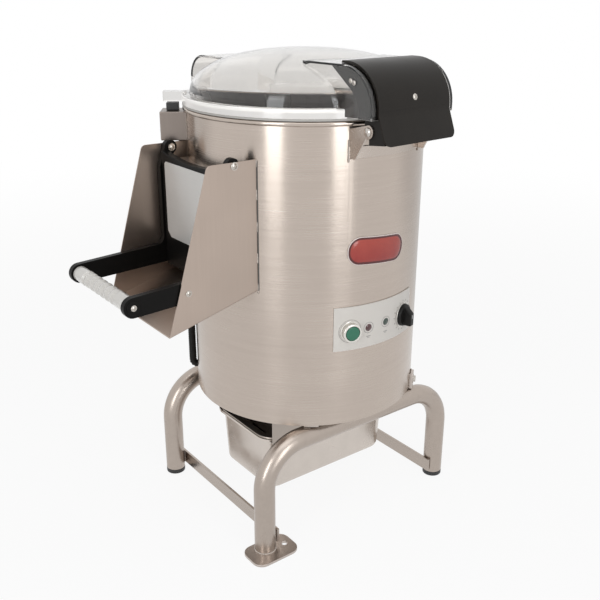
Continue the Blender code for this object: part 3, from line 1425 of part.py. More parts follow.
def tray(name, half_length, half_width, depth, rim, look):
    """A tapered tray with rounded corners and a flat rim, its rim's underside at local zero."""
    shape = bmesh.new()
    bmesh.ops.create_cube(shape, size=1.0)
    inner = Vector((half_length - rim, half_width - rim, 0.0))
    for vertex in shape.verts:
        low = vertex.co.z < 0.0
        draw_in = PAN_TAPER if low else 0.0
        vertex.co.x = math.copysign(inner.x - draw_in, vertex.co.x)
        vertex.co.y = math.copysign(inner.y - draw_in, vertex.co.y)
        vertex.co.z = -depth if low else 0.0
    uprights = [edge for edge in shape.edges if abs(edge.verts[0].co.z - edge.verts[1].co.z) > depth / 2.0]
    bmesh.ops.bevel(
        shape, geom=uprights, offset=PAN_CORNER, offset_type="OFFSET", segments=5, profile=0.5,
        affect="EDGES")
    foot = [edge for edge in shape.edges if max(vertex.co.z for vertex in edge.verts) < -depth / 2.0]
    bmesh.ops.bevel(
        shape, geom=foot, offset=PAN_FOOT_ROUND, offset_type="OFFSET", segments=3, profile=0.5,
        affect="EDGES")
    lids = [face for face in shape.faces if min(vertex.co.z for vertex in face.verts) > -MERGE]
    bmesh.ops.delete(shape, geom=lids, context="FACES_ONLY")
    mouth = [edge for edge in shape.edges if edge.is_boundary]
    grown = bmesh.ops.extrude_edge_only(shape, edges=mouth)["geom"]
    for vertex in [item for item in grown if isinstance(item, bmesh.types.BMVert)]:
        corner = Vector((
            math.copysign(inner.x - PAN_CORNER, vertex.co.x),
            math.copysign(inner.y - PAN_CORNER, vertex.co.y), 0.0))
        away = vertex.co - corner
        away.x = max(0.0, away.x * math.copysign(1.0, vertex.co.x)) * math.copysign(1.0, vertex.co.x)
        away.y = max(0.0, away.y * math.copysign(1.0, vertex.co.y)) * math.copysign(1.0, vertex.co.y)
        if away.length > 0.0:
            vertex.co += away.normalized() * rim
    bmesh.ops.recalc_face_normals(shape, faces=shape.faces)
    bottom = min(shape.faces, key=lambda face: face.calc_center_median().z)
    if bottom.normal.z > 0.0:
        bmesh.ops.reverse_faces(shape, faces=shape.faces)
    mesh = bpy.data.meshes.new(name)
    shape.to_mesh(mesh)
    shape.free()
    made = add(name, shaded(mesh), look)
    wall = made.modifiers.new("Sheet", "SOLIDIFY")
    wall.thickness = PAN_WALL
    wall.offset = -1.0
    return made


def waste_pan():
    made = tray("waste_pan", PAN_HALF_LENGTH, PAN_HALF_WIDTH, PAN_DEPTH, PAN_RIM_WIDTH, bright_steel)
    made.location.z = PAN_RIM_UNDERSIDE
    return made


def filter_basket():
    shift = PAN_RIM_WIDTH - BASKET_RIM / 2.0
    half_length = PAN_HALF_LENGTH - shift
    half_width = PAN_HALF_WIDTH - shift
    rest = PAN_RIM_UNDERSIDE + PAN_WALL + GAP
    made = tray("filter_basket", half_length, half_width, BASKET_DEPTH, BASKET_RIM, bright_steel)
    made.location.z = rest
    span = half_length - BASKET_SLOT_MARGIN
    slot_half = half_width - BASKET_SLOT_MARGIN
    for index in range(BASKET_SLOT_COUNT):
        x = -span + 2.0 * span * index / (BASKET_SLOT_COUNT - 1)
        slot = box(
            "basket_slot", (x - BASKET_SLOT_HALF_WIDTH, -slot_half, rest - BASKET_DEPTH - OVERRUN),
            (x + BASKET_SLOT_HALF_WIDTH, slot_half, rest - BASKET_DEPTH + OVERRUN))
        cut(made, as_cutter(slot))
    return made


def pan_rail(name, side):
    web_out = rail_web + SHEET
    top = bottom_plate_low - GAP
    outline = [
        (side * (rail_web - RAIL_LEDGE), ledge_top), (side * rail_web, ledge_top), (side * rail_web, top),
        (side * (web_out + RAIL_FOOT), top), (side * (web_out + RAIL_FOOT), top - SHEET),
        (side * web_out, top - SHEET), (side * web_out, ledge_top - SHEET),
        (side * (rail_web - RAIL_LEDGE), ledge_top - SHEET)]
    return flat(name, [outline], RAIL_HALF_LENGTH * 2.0, ALONG_X, brushed_steel)


drum_shell()
abrasive_liner()
chamber_floor()
drain_pipe()
bottom_plate()
bearing_housing()
shaft_seal()
drive_shaft()
peeling_plate()
plate_nut()
driven_pulley()
motor_pulley()
motor_housing()
drive_belt()
control_panel()
badge_plate()
start_bezel()
start_button()
start_switch_body()
lamp("red_lamp", RED_LAMP_AZIMUTH, 0.0, red_lens)
lamp("green_lamp", GREEN_LAMP_AZIMUTH, GREEN_LAMP_LIFT, green_lens)
timer_dial()
timer_knob()
timer_body()
chute_channel()
opening_collar()
for side_name, side_sign in (("front", -1.0), ("rear", 1.0)):
    pivot_screw("pivot_screw_" + side_name, side_sign)
    catch_screw("catch_screw_" + side_name, side_sign)
door_arm("door_arm_front", -1.0)
door_arm("door_arm_rear", 1.0)
door_panel()
door_plate()
door_grip()
hinge_bracket()
hinge_pin()
lid_shell()
lid_gasket()
hinge_block()
hinge_cover()
switch_box()
switch_sensor()
cable_conduit()
stand_tube("front_stand_tube", -1.0, plate_end, cap_end)
stand_tube("rear_stand_tube", 1.0, cap_end, plate_end)
foot_cap("foot_cap_front_right", 1.0, -1.0)
foot_cap("foot_cap_rear_left", -1.0, 1.0)
foot_plate("foot_plate_front_left", -1.0)
foot_plate("foot_plate_rear_right", 1.0)
cross_bar("left_cross_bar", -1.0)
cross_bar("right_cross_bar", 1.0)
mount_bracket("mount_bracket_front_right", BRACKET_AZIMUTH)
mount_bracket("mount_bracket_rear_right", 180.0 - BRACKET_AZIMUTH)
mount_bracket("mount_bracket_rear_left", 180.0 + BRACKET_AZIMUTH)
mount_pad("mount_bracket_front_left")
pan_rail("pan_rail_front", -1.0)
pan_rail("pan_rail_rear", 1.0)
waste_pan()
filter_basket()
bpy.context.view_layer.update()
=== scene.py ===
"""Vegetable peeling machine on a tubular stand: its looks, put together piece by piece.

Metres, +Z up, the floor at zero under the middle of the drum. The control panel faces -Y
and the discharge chute faces -X. An azimuth is measured from -Y and grows towards +X.
"""
import math

import bmesh
import bpy
from mathutils import Matrix, Vector


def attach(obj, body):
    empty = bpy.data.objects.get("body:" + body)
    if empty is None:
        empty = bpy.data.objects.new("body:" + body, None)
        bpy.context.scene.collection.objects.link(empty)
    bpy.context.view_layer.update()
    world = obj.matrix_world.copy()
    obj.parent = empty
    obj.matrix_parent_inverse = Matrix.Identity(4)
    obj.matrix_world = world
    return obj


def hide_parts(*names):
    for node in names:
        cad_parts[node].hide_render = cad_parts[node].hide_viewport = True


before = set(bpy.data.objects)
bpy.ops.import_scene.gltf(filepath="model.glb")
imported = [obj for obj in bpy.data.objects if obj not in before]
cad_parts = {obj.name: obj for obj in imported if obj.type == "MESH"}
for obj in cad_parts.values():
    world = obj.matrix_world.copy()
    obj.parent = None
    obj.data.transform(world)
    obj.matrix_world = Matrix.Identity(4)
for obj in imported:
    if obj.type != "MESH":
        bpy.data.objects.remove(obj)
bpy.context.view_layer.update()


# Camera
# It stands in front of the machine and to its left, a little above the lid, and looks down
# on the drum.

CAMERA_HEADING = math.radians(37.2135)
CAMERA_BEARING = math.radians(37.5688)
CAMERA_REACH = 1.23422
CAMERA_HEIGHT = 0.80203
CAMERA_TILT = math.radians(21.1364)
CAMERA_ROLL = math.radians(0.2120)
CAMERA_LENS = 48.477
CAMERA_SENSOR = 36.0
CAMERA_NEAREST = 0.05


def in_scene(name, data):
    """Puts a new object in the scene."""
    made = bpy.data.objects.new(name, data)
    bpy.context.scene.collection.objects.link(made)
    return made


camera_data = bpy.data.cameras.new("camera")
camera_data.sensor_width = CAMERA_SENSOR
camera_data.lens = CAMERA_LENS
camera_data.clip_start = CAMERA_NEAREST
camera = in_scene("camera", camera_data)
bpy.context.scene.camera = camera
level = Vector((math.sin(CAMERA_HEADING), math.cos(CAMERA_HEADING), 0.0))
forward = level * math.cos(CAMERA_TILT) - Vector((0.0, 0.0, math.sin(CAMERA_TILT)))
flat_right = level.cross(Vector((0.0, 0.0, 1.0)))
flat_up = flat_right.cross(forward)
right = flat_right * math.cos(CAMERA_ROLL) + flat_up * math.sin(CAMERA_ROLL)
upward = flat_up * math.cos(CAMERA_ROLL) - flat_right * math.sin(CAMERA_ROLL)
stand_point = Vector((
    -math.sin(CAMERA_BEARING) * CAMERA_REACH, -math.cos(CAMERA_BEARING) * CAMERA_REACH, CAMERA_HEIGHT))
camera.matrix_world = Matrix((
    (right.x, upward.x, -forward.x, stand_point.x),
    (right.y, upward.y, -forward.y, stand_point.y),
    (right.z, upward.z, -forward.z, stand_point.z),
    (0.0, 0.0, 0.0, 1.0)))


# Stand tubes
# Two stainless tubes, each bent to a bridge with a leg at both ends, satin ground along
# their length. The drum is bolted down on them through lugs.

TUBE_RADIUS = 0.016
TUBE_TOP = 0.188
TUBE_BEND = 0.066
STAND_HALF_LENGTH = 0.180
STAND_HALF_WIDTH = 0.139
PLATED_LEG_END = 0.0043
CAPPED_LEG_END = 0.0083
SAME = 0.00001


class Wire:
    """A socket's output. Arithmetic on it adds Math nodes to its tree."""

    def __init__(self, tree, socket):
        self.tree = tree
        self.socket = socket

    def also(self, output):
        """Another output of the same node."""
        return Wire(self.tree, self.socket.node.outputs[output])

    def reckon(self, operation, *others):
        return place(self.tree, "ShaderNodeMath", {"operation": operation}, dict(enumerate((self, *others))))

    def __add__(self, other):
        return self.reckon("ADD", other)

    def __sub__(self, other):
        return self.reckon("SUBTRACT", other)

    def __rsub__(self, other):
        return place(self.tree, "ShaderNodeMath", {"operation": "SUBTRACT"}, {0: other, 1: self})

    def __mul__(self, other):
        return self.reckon("MULTIPLY", other)

    def __truediv__(self, other):
        return self.reckon("DIVIDE", other)

    def __pow__(self, other):
        return self.reckon("POWER", other)

    def __gt__(self, other):
        return self.reckon("GREATER_THAN", other)

    __radd__ = __add__
    __rmul__ = __mul__


def place(tree, kind, settings=None, sockets=None, output=0):
    """Adds one node: its settings first, then the values or wires of its sockets."""
    made = tree.nodes.new(kind)
    for key, value in (settings or {}).items():
        setattr(made, key, value)
    for key, value in (sockets or {}).items():
        socket = made.inputs[key]
        if isinstance(value, Wire):
            tree.links.new(value.socket, socket)
        elif socket.type == "RGBA":
            socket.default_value = (*value, 1.0)
        else:
            socket.default_value = value
    return Wire(tree, made.outputs[output]) if made.outputs else None


def finish(name, roughness, metallic=0.0, **constants):
    """A new finish with its shader. Constants are the shader's own fixed sockets."""
    made = bpy.data.materials.new(name)
    made.use_nodes = True
    shader = made.node_tree.nodes["Principled BSDF"]
    shader.inputs["Roughness"].default_value = roughness
    shader.inputs["Metallic"].default_value = metallic
    for socket, value in constants.items():
        shader.inputs[socket.replace("_", " ")].default_value = value
    return made, made.node_tree, shader


def give(shader, socket, wire):
    wire.tree.links.new(wire.socket, shader.inputs[socket])


def where(tree):
    """A point's own place on the piece, in metres."""
    return place(tree, "ShaderNodeTexCoord", output=3)


def mixed(tree, factor, first, second):
    return place(tree, "ShaderNodeMix", {"data_type": "RGBA"}, {0: factor, 6: first, 7: second}, 2)


def speckle(tree, at, scale, detail=2.0, roughness=0.55):
    sockets = {"Vector": at, "Scale": scale, "Detail": detail, "Roughness": roughness}
    return place(tree, "ShaderNodeTexNoise", {}, sockets)


def streaks(tree, at, scale, detail, roughness=0.55):
    """Noise drawn out by a scale of its own along each axis."""
    drawn = place(tree, "ShaderNodeMapping", {}, {"Vector": at, "Scale": scale})
    return speckle(tree, drawn, 1.0, detail, roughness)


def raised(tree, shader, height, depth, strength=1.0):
    """Feeds a height pattern, a given depth in metres, to the shader's normal."""
    give(shader, "Normal", place(
        tree, "ShaderNodeBump", {}, {"Strength": strength, "Distance": depth, "Height": height}))


def shaded(tint, share):
    return tuple(min(1.0, part * share) for part in tint)


def ground_steel(name, tint, roughness, streak_scale, smudge=0.05, streak=0.10):
    """Stainless steel ground in one direction, with faint hand marks over the grain."""
    made, tree, shader = finish(name, roughness, 1.0)
    at = where(tree)
    grain = streaks(tree, at, streak_scale, 4.0, 0.7)
    marks = speckle(tree, at, 18.0, 3.0, 0.6)
    give(shader, "Base Color", mixed(
        tree, grain * 0.75 + marks * 0.25, shaded(tint, 0.86), shaded(tint, 1.08)))
    give(shader, "Roughness", roughness + (grain - 0.5) * streak * 2.0 + (marks - 0.5) * smudge * 2.0)
    raised(tree, shader, grain, 0.00002, 0.6)
    return made


tube_steel = ground_steel("satin_tube_steel", (0.456, 0.394, 0.347), 0.30, (120.0, 120.0, 120.0), 0.08, 0.05)


def evened(piece):
    """Turns the normals at each edge towards the larger face, so that flat sheet shades flat."""
    even = piece.modifiers.new("Even", "WEIGHTED_NORMAL")
    even.keep_sharp = True
    bpy.context.view_layer.update()
    mesh = bpy.data.meshes.new_from_object(piece.evaluated_get(bpy.context.evaluated_depsgraph_get()))
    piece.modifiers.clear()
    old, name = piece.data, piece.data.name
    piece.data = mesh
    bpy.data.meshes.remove(old)
    mesh.name = name
    return piece


def settle(made, place_at=None, sharp=35.0, look=None):
    """Makes a finished plain mesh of a piece, in its place, with its object at the origin."""
    bpy.context.view_layer.update()
    graph = bpy.context.evaluated_depsgraph_get()
    mesh = bpy.data.meshes.new_from_object(made.evaluated_get(graph))
    shape = bmesh.new()
    shape.from_mesh(mesh)
    bmesh.ops.remove_doubles(shape, verts=shape.verts, dist=SAME)
    bmesh.ops.recalc_face_normals(shape, faces=shape.faces)
    shape.to_mesh(mesh)
    shape.free()
    mesh.transform(made.matrix_world)
    if place_at is not None:
        mesh.transform(place_at)
    name, old = made.name, made.data
    bpy.data.objects.remove(made, do_unlink=True)
    if old.users == 0 and isinstance(old, bpy.types.Mesh):
        bpy.data.meshes.remove(old)
    mesh.name = name
    mesh.shade_smooth()
    mesh.set_sharp_from_angle(angle=math.radians(sharp))
    if look is not None:
        mesh.materials.clear()
        mesh.materials.append(look)
    return evened(in_scene(name, mesh))


def arc(centre, radius, start, end, steps):
    turns = [math.radians(start + (end - start) * index / steps) for index in range(steps + 1)]
    return [(centre[0] + radius * math.cos(turn), centre[1] + radius * math.sin(turn)) for turn in turns]


def drawn_line(name, runs, dimensions="3D"):
    """A curve of straight runs, each one given as (points, closed)."""
    curve = bpy.data.curves.new(name, "CURVE")
    curve.dimensions = dimensions
    for points, closed in runs:
        spline = curve.splines.new("POLY")
        spline.points.add(len(points) - 1)
        for point, spot in zip(spline.points, points):
            point.co = (*spot, 1.0)
        spline.use_cyclic_u = closed
    return in_scene(name, curve)


def tube(name, route, radius, look, smoothness=8):
    made = drawn_line(name, [(route, False)])
    made.data.bevel_depth = radius
    made.data.bevel_resolution = smoothness
    made.data.use_fill_caps = True
    return settle(made, look=look)


crown, straight = TUBE_TOP - TUBE_RADIUS - TUBE_BEND, STAND_HALF_LENGTH - TUBE_BEND
for tube_name, side, left_end, right_end in (
        ("front_stand_tube", -1.0, PLATED_LEG_END, CAPPED_LEG_END),
        ("rear_stand_tube", 1.0, CAPPED_LEG_END, PLATED_LEG_END)):
    side_line = [(-STAND_HALF_LENGTH, left_end)] + arc((-straight, crown), TUBE_BEND, 180.0, 90.0, 20)
    side_line += arc((straight, crown), TUBE_BEND, 90.0, 0.0, 20) + [(STAND_HALF_LENGTH, right_end)]
    route = [(x, side * STAND_HALF_WIDTH, z) for x, z in side_line]
    stand_tube = tube(tube_name + "_bent", route, TUBE_RADIUS, tube_steel)
    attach(stand_tube, "machine")
    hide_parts(tube_name)


# Feet of the stand
# Front left and rear right legs are welded to stainless plates with a fixing hole; the other
# two end in moulded black caps. The weld is a ring of overlapping beads.

PLATE_THICKNESS = 0.004
PLATE_HALF_LENGTH = 0.0388
PLATE_HALF_WIDTH = 0.0255
PLATE_CORNER = 0.016
PLATE_EDGE = 0.0011
PLATE_SHIFT = (0.005, 0.008)
PLATE_HOLE = 0.0045
PLATE_HOLE_OFFSET = (0.025, 0.0003)
CAP_HEIGHT = 0.008
CAP_EDGE = 0.0016
CAP_LIP = (0.0008, 0.0006)
WELD_BEAD = 0.0017
WELD_PITCH = 0.0022
WELD_LIFT = 0.0006
BEAD_SPREAD = (0.82, 1.12)


def skinned(name, roughness, low, high, scale, depth, strength=0.5, detail=3.0, metallic=0.0, rough=0.55):
    """A plain finish, with one fine pattern behind both its tone and its relief."""
    made, tree, shader = finish(name, roughness, metallic)
    skin = speckle(tree, where(tree), scale, detail, rough)
    give(shader, "Base Color", mixed(tree, skin, low, high))
    raised(tree, shader, skin, depth, strength)
    return made


plate_steel = ground_steel("foot_plate_steel", (0.53, 0.472, 0.432), 0.3, (60.0, 120.0, 60.0), 0.06, 0.04)
weld_steel = ground_steel("weld_metal", (0.418, 0.369, 0.333), 0.34, (400.0, 400.0, 400.0), 0.1)
cap_black = skinned(
    "moulded_black_caps", 0.48, (0.014, 0.014, 0.015), (0.032, 0.031, 0.031), 900.0, 0.00004, detail=2.0)


def rounded(made, edge, steps=2, from_angle=40.0):
    bevel = made.modifiers.new("Edge", "BEVEL")
    bevel.width = edge
    bevel.segments = steps
    bevel.limit_method = "ANGLE"
    bevel.angle_limit = math.radians(from_angle)
    return made


def plate(name, outlines, thickness, stood, edge=0.0, edge_steps=2, look=None):
    """A flat piece: an outline and its holes, a thickness, and slightly rounded edges."""
    runs = [([(*spot, 0.0) for spot in outline], True) for outline in outlines]
    made = drawn_line(name, runs, "2D")
    made.data.fill_mode = "BOTH"
    made.data.extrude = thickness / 2.0
    made = settle(made)
    return settle(rounded(made, edge, edge_steps) if edge else made, stood, look=look)


def from_shape(name, shape):
    """An object of a finished bmesh."""
    mesh = bpy.data.meshes.new(name)
    shape.to_mesh(mesh)
    shape.free()
    return in_scene(name, mesh)


def between(shape, ring, following):
    """Faces between two rings of points, which may share a point at a pole."""
    made = []
    for index in range(len(ring)):
        after = (index + 1) % len(ring)
        corners = (ring[index], ring[after], following[after], following[index])
        corners = [corner for number, corner in enumerate(corners) if corner not in corners[:number]]
        if len(corners) > 2:
            made.append(shape.faces.new(corners))
    return made


def lathe(name, profile, steps, stood=None, sharp=35.0, look=None):
    """A side line of (radius, height) points turned about local Z into a closed mesh."""
    shape = bmesh.new()
    turns = [2.0 * math.pi * index / steps for index in range(steps)]
    rings = []
    for radius, height in profile:
        if radius == 0.0:
            rings.append([shape.verts.new((0.0, 0.0, height))] * steps)
        else:
            spots = [(radius * math.cos(turn), radius * math.sin(turn), height) for turn in turns]
            rings.append([shape.verts.new(spot) for spot in spots])
    hollow = profile[0][0] > 0.0 and profile[-1][0] > 0.0
    for ring, following in zip(rings, rings[1:] + (rings[:1] if hollow else [])):
        between(shape, ring, following)
    return settle(from_shape(name, shape), stood, sharp, look)


def ring_line(middle, radius, steps=24):
    return arc(middle, radius, 0.0, 360.0 - 360.0 / steps, steps - 1)


def pill(half_width, half_height, radius, steps=6):
    outline = []
    for across, along, start in ((1, 1, 0.0), (-1, 1, 90.0), (-1, -1, 180.0), (1, -1, 270.0)):
        middle = (across * (half_width - radius), along * (half_height - radius))
        outline += arc(middle, radius, start, start + 90.0, steps)
    return outline


def sized_tree(name, entry, result, sizes):
    """A node tree that makes a shape, with named inputs for its sizes and its finish."""
    tree = bpy.data.node_groups.new(name, "GeometryNodeTree")
    tree.interface.new_socket(entry, in_out="INPUT", socket_type="NodeSocketGeometry")
    keys = {}
    for title, value in (*sizes.items(), ("Look", None)):
        kind = "Material" if value is None else ("Int" if isinstance(value, int) else "Float")
        socket = tree.interface.new_socket(title, in_out="INPUT", socket_type="NodeSocket" + kind)
        if value is not None:
            socket.default_value = value
        keys[title] = socket.identifier
    tree.interface.new_socket(result, in_out="OUTPUT", socket_type="NodeSocketGeometry")
    return tree, keys, place(tree, "NodeGroupInput")


def ended(tree, given, geometry):
    """Ends a node tree: its instances made real, the finish set, and the result put out."""
    real = place(tree, "GeometryNodeRealizeInstances", {}, {0: geometry})
    look = {"Geometry": real, "Material": given.also("Look")}
    place(tree, "NodeGroupOutput", {}, {0: place(tree, "GeometryNodeSetMaterial", {}, look)})


def weld_tree():
    """Beads laid along a path, each a little different in size."""
    sizes = {"Bead radius": WELD_BEAD, "Pitch": WELD_PITCH, "Seed": 4}
    tree, keys, given = sized_tree("weld_beads", "Path", "Weld", sizes)
    points = place(
        tree, "GeometryNodeCurveToPoints", {"mode": "LENGTH"}, {"Curve": given, "Length": given.also("Pitch")})
    bead = place(
        tree, "GeometryNodeMeshIcoSphere", {}, {"Radius": given.also("Bead radius"), "Subdivisions": 2})
    spread = place(
        tree, "FunctionNodeRandomValue", {"data_type": "FLOAT"},
        {2: BEAD_SPREAD[0], 3: BEAD_SPREAD[1], "Seed": given.also("Seed")}, 1)
    ended(tree, given, place(
        tree, "GeometryNodeInstanceOnPoints", {}, {"Points": points, "Instance": bead, "Scale": spread}))
    return tree, keys


weld_beads = weld_tree()


def grown(made, kind, values):
    """Runs a node tree on a piece with the sizes given, and makes its result a plain mesh."""
    tree, keys = kind
    growth = made.modifiers.new("Growth", "NODES")
    growth.node_group = tree
    for title, value in values.items():
        growth[keys[title]] = value
    return settle(made, sharp=50.0)


def weld(name, runs, bead=WELD_BEAD, pitch=WELD_PITCH, seed=4):
    values = {"Bead radius": bead, "Pitch": pitch, "Seed": seed, "Look": weld_steel}
    return grown(drawn_line(name, runs), weld_beads, values)


leg_rings = []
for side, plate_name in ((-1.0, "foot_plate_front_left"), (1.0, "foot_plate_rear_right")):
    outline = pill(PLATE_HALF_LENGTH, PLATE_HALF_WIDTH, PLATE_CORNER)
    hole = ring_line((-side * PLATE_HOLE_OFFSET[0], side * PLATE_HOLE_OFFSET[1]), PLATE_HOLE)
    x = side * (STAND_HALF_LENGTH - PLATE_SHIFT[0])
    y = side * (STAND_HALF_WIDTH + PLATE_SHIFT[1])
    stood = Matrix.Translation((x, y, PLATE_THICKNESS / 2.0))
    foot = plate(
        plate_name + "_rounded", [outline, hole], PLATE_THICKNESS, stood, PLATE_EDGE, 3, plate_steel)
    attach(foot, "machine")
    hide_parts(plate_name)
    leg = ring_line((side * STAND_HALF_LENGTH, side * STAND_HALF_WIDTH), TUBE_RADIUS, 36)
    leg_rings.append(([(*spot, PLATE_THICKNESS + WELD_LIFT) for spot in leg], True))
foot_welds = weld("foot_welds", leg_rings)
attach(foot_welds, "machine")

for side, cap_name in ((-1.0, "foot_cap_front_right"), (1.0, "foot_cap_rear_left")):
    profile = [
        (0.0, CAP_HEIGHT), (TUBE_RADIUS - CAP_LIP[0], CAP_HEIGHT), (TUBE_RADIUS, CAP_HEIGHT - CAP_LIP[1]),
        (TUBE_RADIUS, CAP_EDGE)]
    profile += arc((TUBE_RADIUS - CAP_EDGE, CAP_EDGE), CAP_EDGE, 0.0, -90.0, 4) + [(0.0, 0.0)]
    stood = Matrix.Translation((-side * STAND_HALF_LENGTH, side * STAND_HALF_WIDTH, 0.0))
    cap = lathe(cap_name + "_moulded", profile, 48, stood, look=cap_black)
    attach(cap, "machine")
    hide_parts(cap_name)


# Cross bars
# Flat stainless bars, rolled and ground, that tie the two tubes low down. Each is welded to the
# inner side of a leg at both ends.

BAR_FACE = 0.1637
BAR_THICKNESS = 0.004
BAR_HALF_LENGTH = 0.148
BAR_BOTTOM = 0.0125
BAR_TOP = 0.035
BAR_WELD_OFFSET = (0.0002, 0.0052, 0.001)

bar_steel = ground_steel("flat_bar_steel", (0.456, 0.398, 0.354), 0.28, (700.0, 12.0, 400.0))


def block(name, low, high, stood=None, edge=0.0006, steps=2, look=None):
    """A squared piece with slightly rounded edges."""
    low, high = Vector(low), Vector(high)
    shape = bmesh.new()
    bmesh.ops.create_cube(shape, size=1.0)
    bmesh.ops.scale(shape, vec=high - low, verts=shape.verts)
    bmesh.ops.translate(shape, vec=(high + low) / 2.0, verts=shape.verts)
    made = from_shape(name, shape)
    return settle(rounded(made, edge, steps) if edge else made, stood, look=look)


bar_ends = []
for side, bar_name in ((-1.0, "left_cross_bar"), (1.0, "right_cross_bar")):
    near, far = sorted((side * BAR_FACE, side * (BAR_FACE - BAR_THICKNESS)))
    bar = block(
        bar_name + "_flat", (near, -BAR_HALF_LENGTH, BAR_BOTTOM), (far, BAR_HALF_LENGTH, BAR_TOP),
        look=bar_steel)
    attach(bar, "machine")
    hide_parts(bar_name)
    out, beside, short = BAR_WELD_OFFSET
    for leg_side in (-1.0, 1.0):
        for edge in (-beside, beside):
            at = (side * (BAR_FACE + out), leg_side * STAND_HALF_WIDTH + edge)
            bar_ends.append(([(*at, BAR_BOTTOM + short), (*at, BAR_TOP - short)], False))
bar_welds = weld("cross_bar_welds", bar_ends, 0.0011, 0.0016, 9)
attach(bar_welds, "machine")


# Mounting lugs
# Small stainless lugs welded to the drum's lower edge, bolted down on the tubes with hex bolts;
# at the front left a block does that work inside the drum's wall, out of sight.

DRUM_RADIUS = 0.178
LUG_AZIMUTHS = {"front_right": 40.2, "rear_right": 139.8, "rear_left": 220.2}
LUG_BACK = 0.0003
LUG_THICKNESS = 0.005
LUG_HALF_WIDTH = 0.011
LUG_BOTTOM = 0.1883
LUG_HEIGHT = 0.026
LUG_EDGE = 0.0012
BOLT_SHARE = 0.56
PAD_OUTSIDE = 0.1755
PAD_DEPTH = 0.016
PAD_TOP = 0.1937
WELD_STAND = 0.0002
WELD_SHORT = 0.003

bolt_steel = ground_steel("bolt_steel", (0.561, 0.525, 0.482), 0.22, (300.0, 300.0, 300.0), 0.04, 0.04)


def turn_z(azimuth):
    return Matrix.Rotation(math.radians(azimuth), 4, "Z")


def turned_points(turn, points):
    return [tuple(turn @ Vector(point)) for point in points]


def fastener_tree(name, radius, height, head):
    """Instances a head, built by a function of the tree's inputs, at points that store a facing."""
    sizes = {"Head radius": radius, "Head height": height}
    tree, keys, given = sized_tree(name, "Spots", "Fasteners", sizes)
    facing = place(tree, "GeometryNodeInputNamedAttribute", {"data_type": "FLOAT_VECTOR"}, {"Name": "facing"})
    turn = place(tree, "FunctionNodeAlignRotationToVector", {"axis": "Z"}, {"Vector": facing})
    made = head(tree, given.also("Head radius"), given.also("Head height"))
    ended(tree, given, place(
        tree, "GeometryNodeInstanceOnPoints", {}, {"Points": given, "Instance": made, "Rotation": turn}))
    return tree, keys


def shifted_up(tree, geometry, height, scale=(1.0, 1.0, 1.0)):
    spot = place(tree, "ShaderNodeCombineXYZ", {}, {2: height})
    sockets = {"Geometry": geometry, "Translation": spot, "Scale": scale}
    return place(tree, "GeometryNodeTransform", {}, sockets)


def joined(tree, *parts):
    made = place(tree, "GeometryNodeJoinGeometry")
    for part in parts:
        tree.links.new(part.socket, made.socket.node.inputs[0])
    return made


def cylinder(tree, sides, radius, depth):
    return place(tree, "GeometryNodeMeshCylinder", {}, {"Vertices": sides, "Radius": radius, "Depth": depth})


def ball(tree, segments, radius):
    sockets = {"Segments": segments, "Rings": segments // 2, "Radius": radius}
    return place(tree, "GeometryNodeMeshUVSphere", {}, sockets)


def hex_head(tree, width, height):
    """A washer, a six-sided head and its low crowned top."""
    washer = cylinder(tree, 32, width * 1.45, height * 0.24)
    head = cylinder(tree, 6, width, height)
    crown = ball(tree, 24, width * 0.86)
    return joined(
        tree, shifted_up(tree, washer, height * 0.12), shifted_up(tree, head, height * 0.62),
        shifted_up(tree, crown, height * 1.05, (1.0, 1.0, 0.16)))


hex_bolts = fastener_tree("hex_bolts", 0.005, 0.0035, hex_head)


def fasteners(name, kind, spots, radius, height):
    """Puts one fastener at each (place, facing)."""
    mesh = bpy.data.meshes.new(name)
    mesh.from_pydata([spot for spot, facing in spots], [], [])
    stored = mesh.attributes.new("facing", "FLOAT_VECTOR", "POINT")
    for index, (spot, facing) in enumerate(spots):
        stored.data[index].vector = facing
    values = {"Head radius": radius, "Head height": height, "Look": bolt_steel}
    return grown(in_scene(name, mesh), kind, values)


bolt_spots, lug_seams = [], []
for corner, azimuth in LUG_AZIMUTHS.items():
    turn = turn_z(azimuth)
    lug = block(
        corner + "_lug", (-LUG_HALF_WIDTH, -DRUM_RADIUS - LUG_BACK - LUG_THICKNESS, LUG_BOTTOM),
        (LUG_HALF_WIDTH, -DRUM_RADIUS - LUG_BACK, LUG_BOTTOM + LUG_HEIGHT), turn, LUG_EDGE, 3, plate_steel)
    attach(lug, "machine")
    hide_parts("mount_bracket_" + corner)
    out = (turn @ Vector((0.0, -1.0, 0.0))).normalized()
    middle = out * (DRUM_RADIUS + LUG_BACK + LUG_THICKNESS)
    bolt_spots.append(((middle.x, middle.y, LUG_BOTTOM + LUG_HEIGHT * BOLT_SHARE), out))
    for across in (-LUG_HALF_WIDTH, LUG_HALF_WIDTH):
        heights = (LUG_BOTTOM + WELD_SHORT, LUG_BOTTOM + LUG_HEIGHT)
        seam = turned_points(turn, [(across, -DRUM_RADIUS - WELD_STAND, z) for z in heights])
        lug_seams.append((seam, False))
pad_turn = turn_z(-math.degrees(math.acos(STAND_HALF_WIDTH / (PAD_OUTSIDE - PAD_DEPTH / 2.0))))
pad = block(
    "front_left_pad", (-LUG_HALF_WIDTH, -PAD_OUTSIDE, LUG_BOTTOM),
    (LUG_HALF_WIDTH, PAD_DEPTH - PAD_OUTSIDE, PAD_TOP), pad_turn, look=plate_steel)
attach(pad, "machine")
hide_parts("mount_bracket_front_left")
lug_bolts = fasteners("lug_bolts", hex_bolts, bolt_spots, 0.0052, 0.0034)
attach(lug_bolts, "machine")
lug_welds = weld("lug_welds", lug_seams, 0.0013, 0.0018, 12)
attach(lug_welds, "machine")


# Drum
# A rolled and welded sheet of stainless steel, ground round its girth, with a beaded rim. The
# doorway, the bores for the controls and the cable's gland are cut in it.

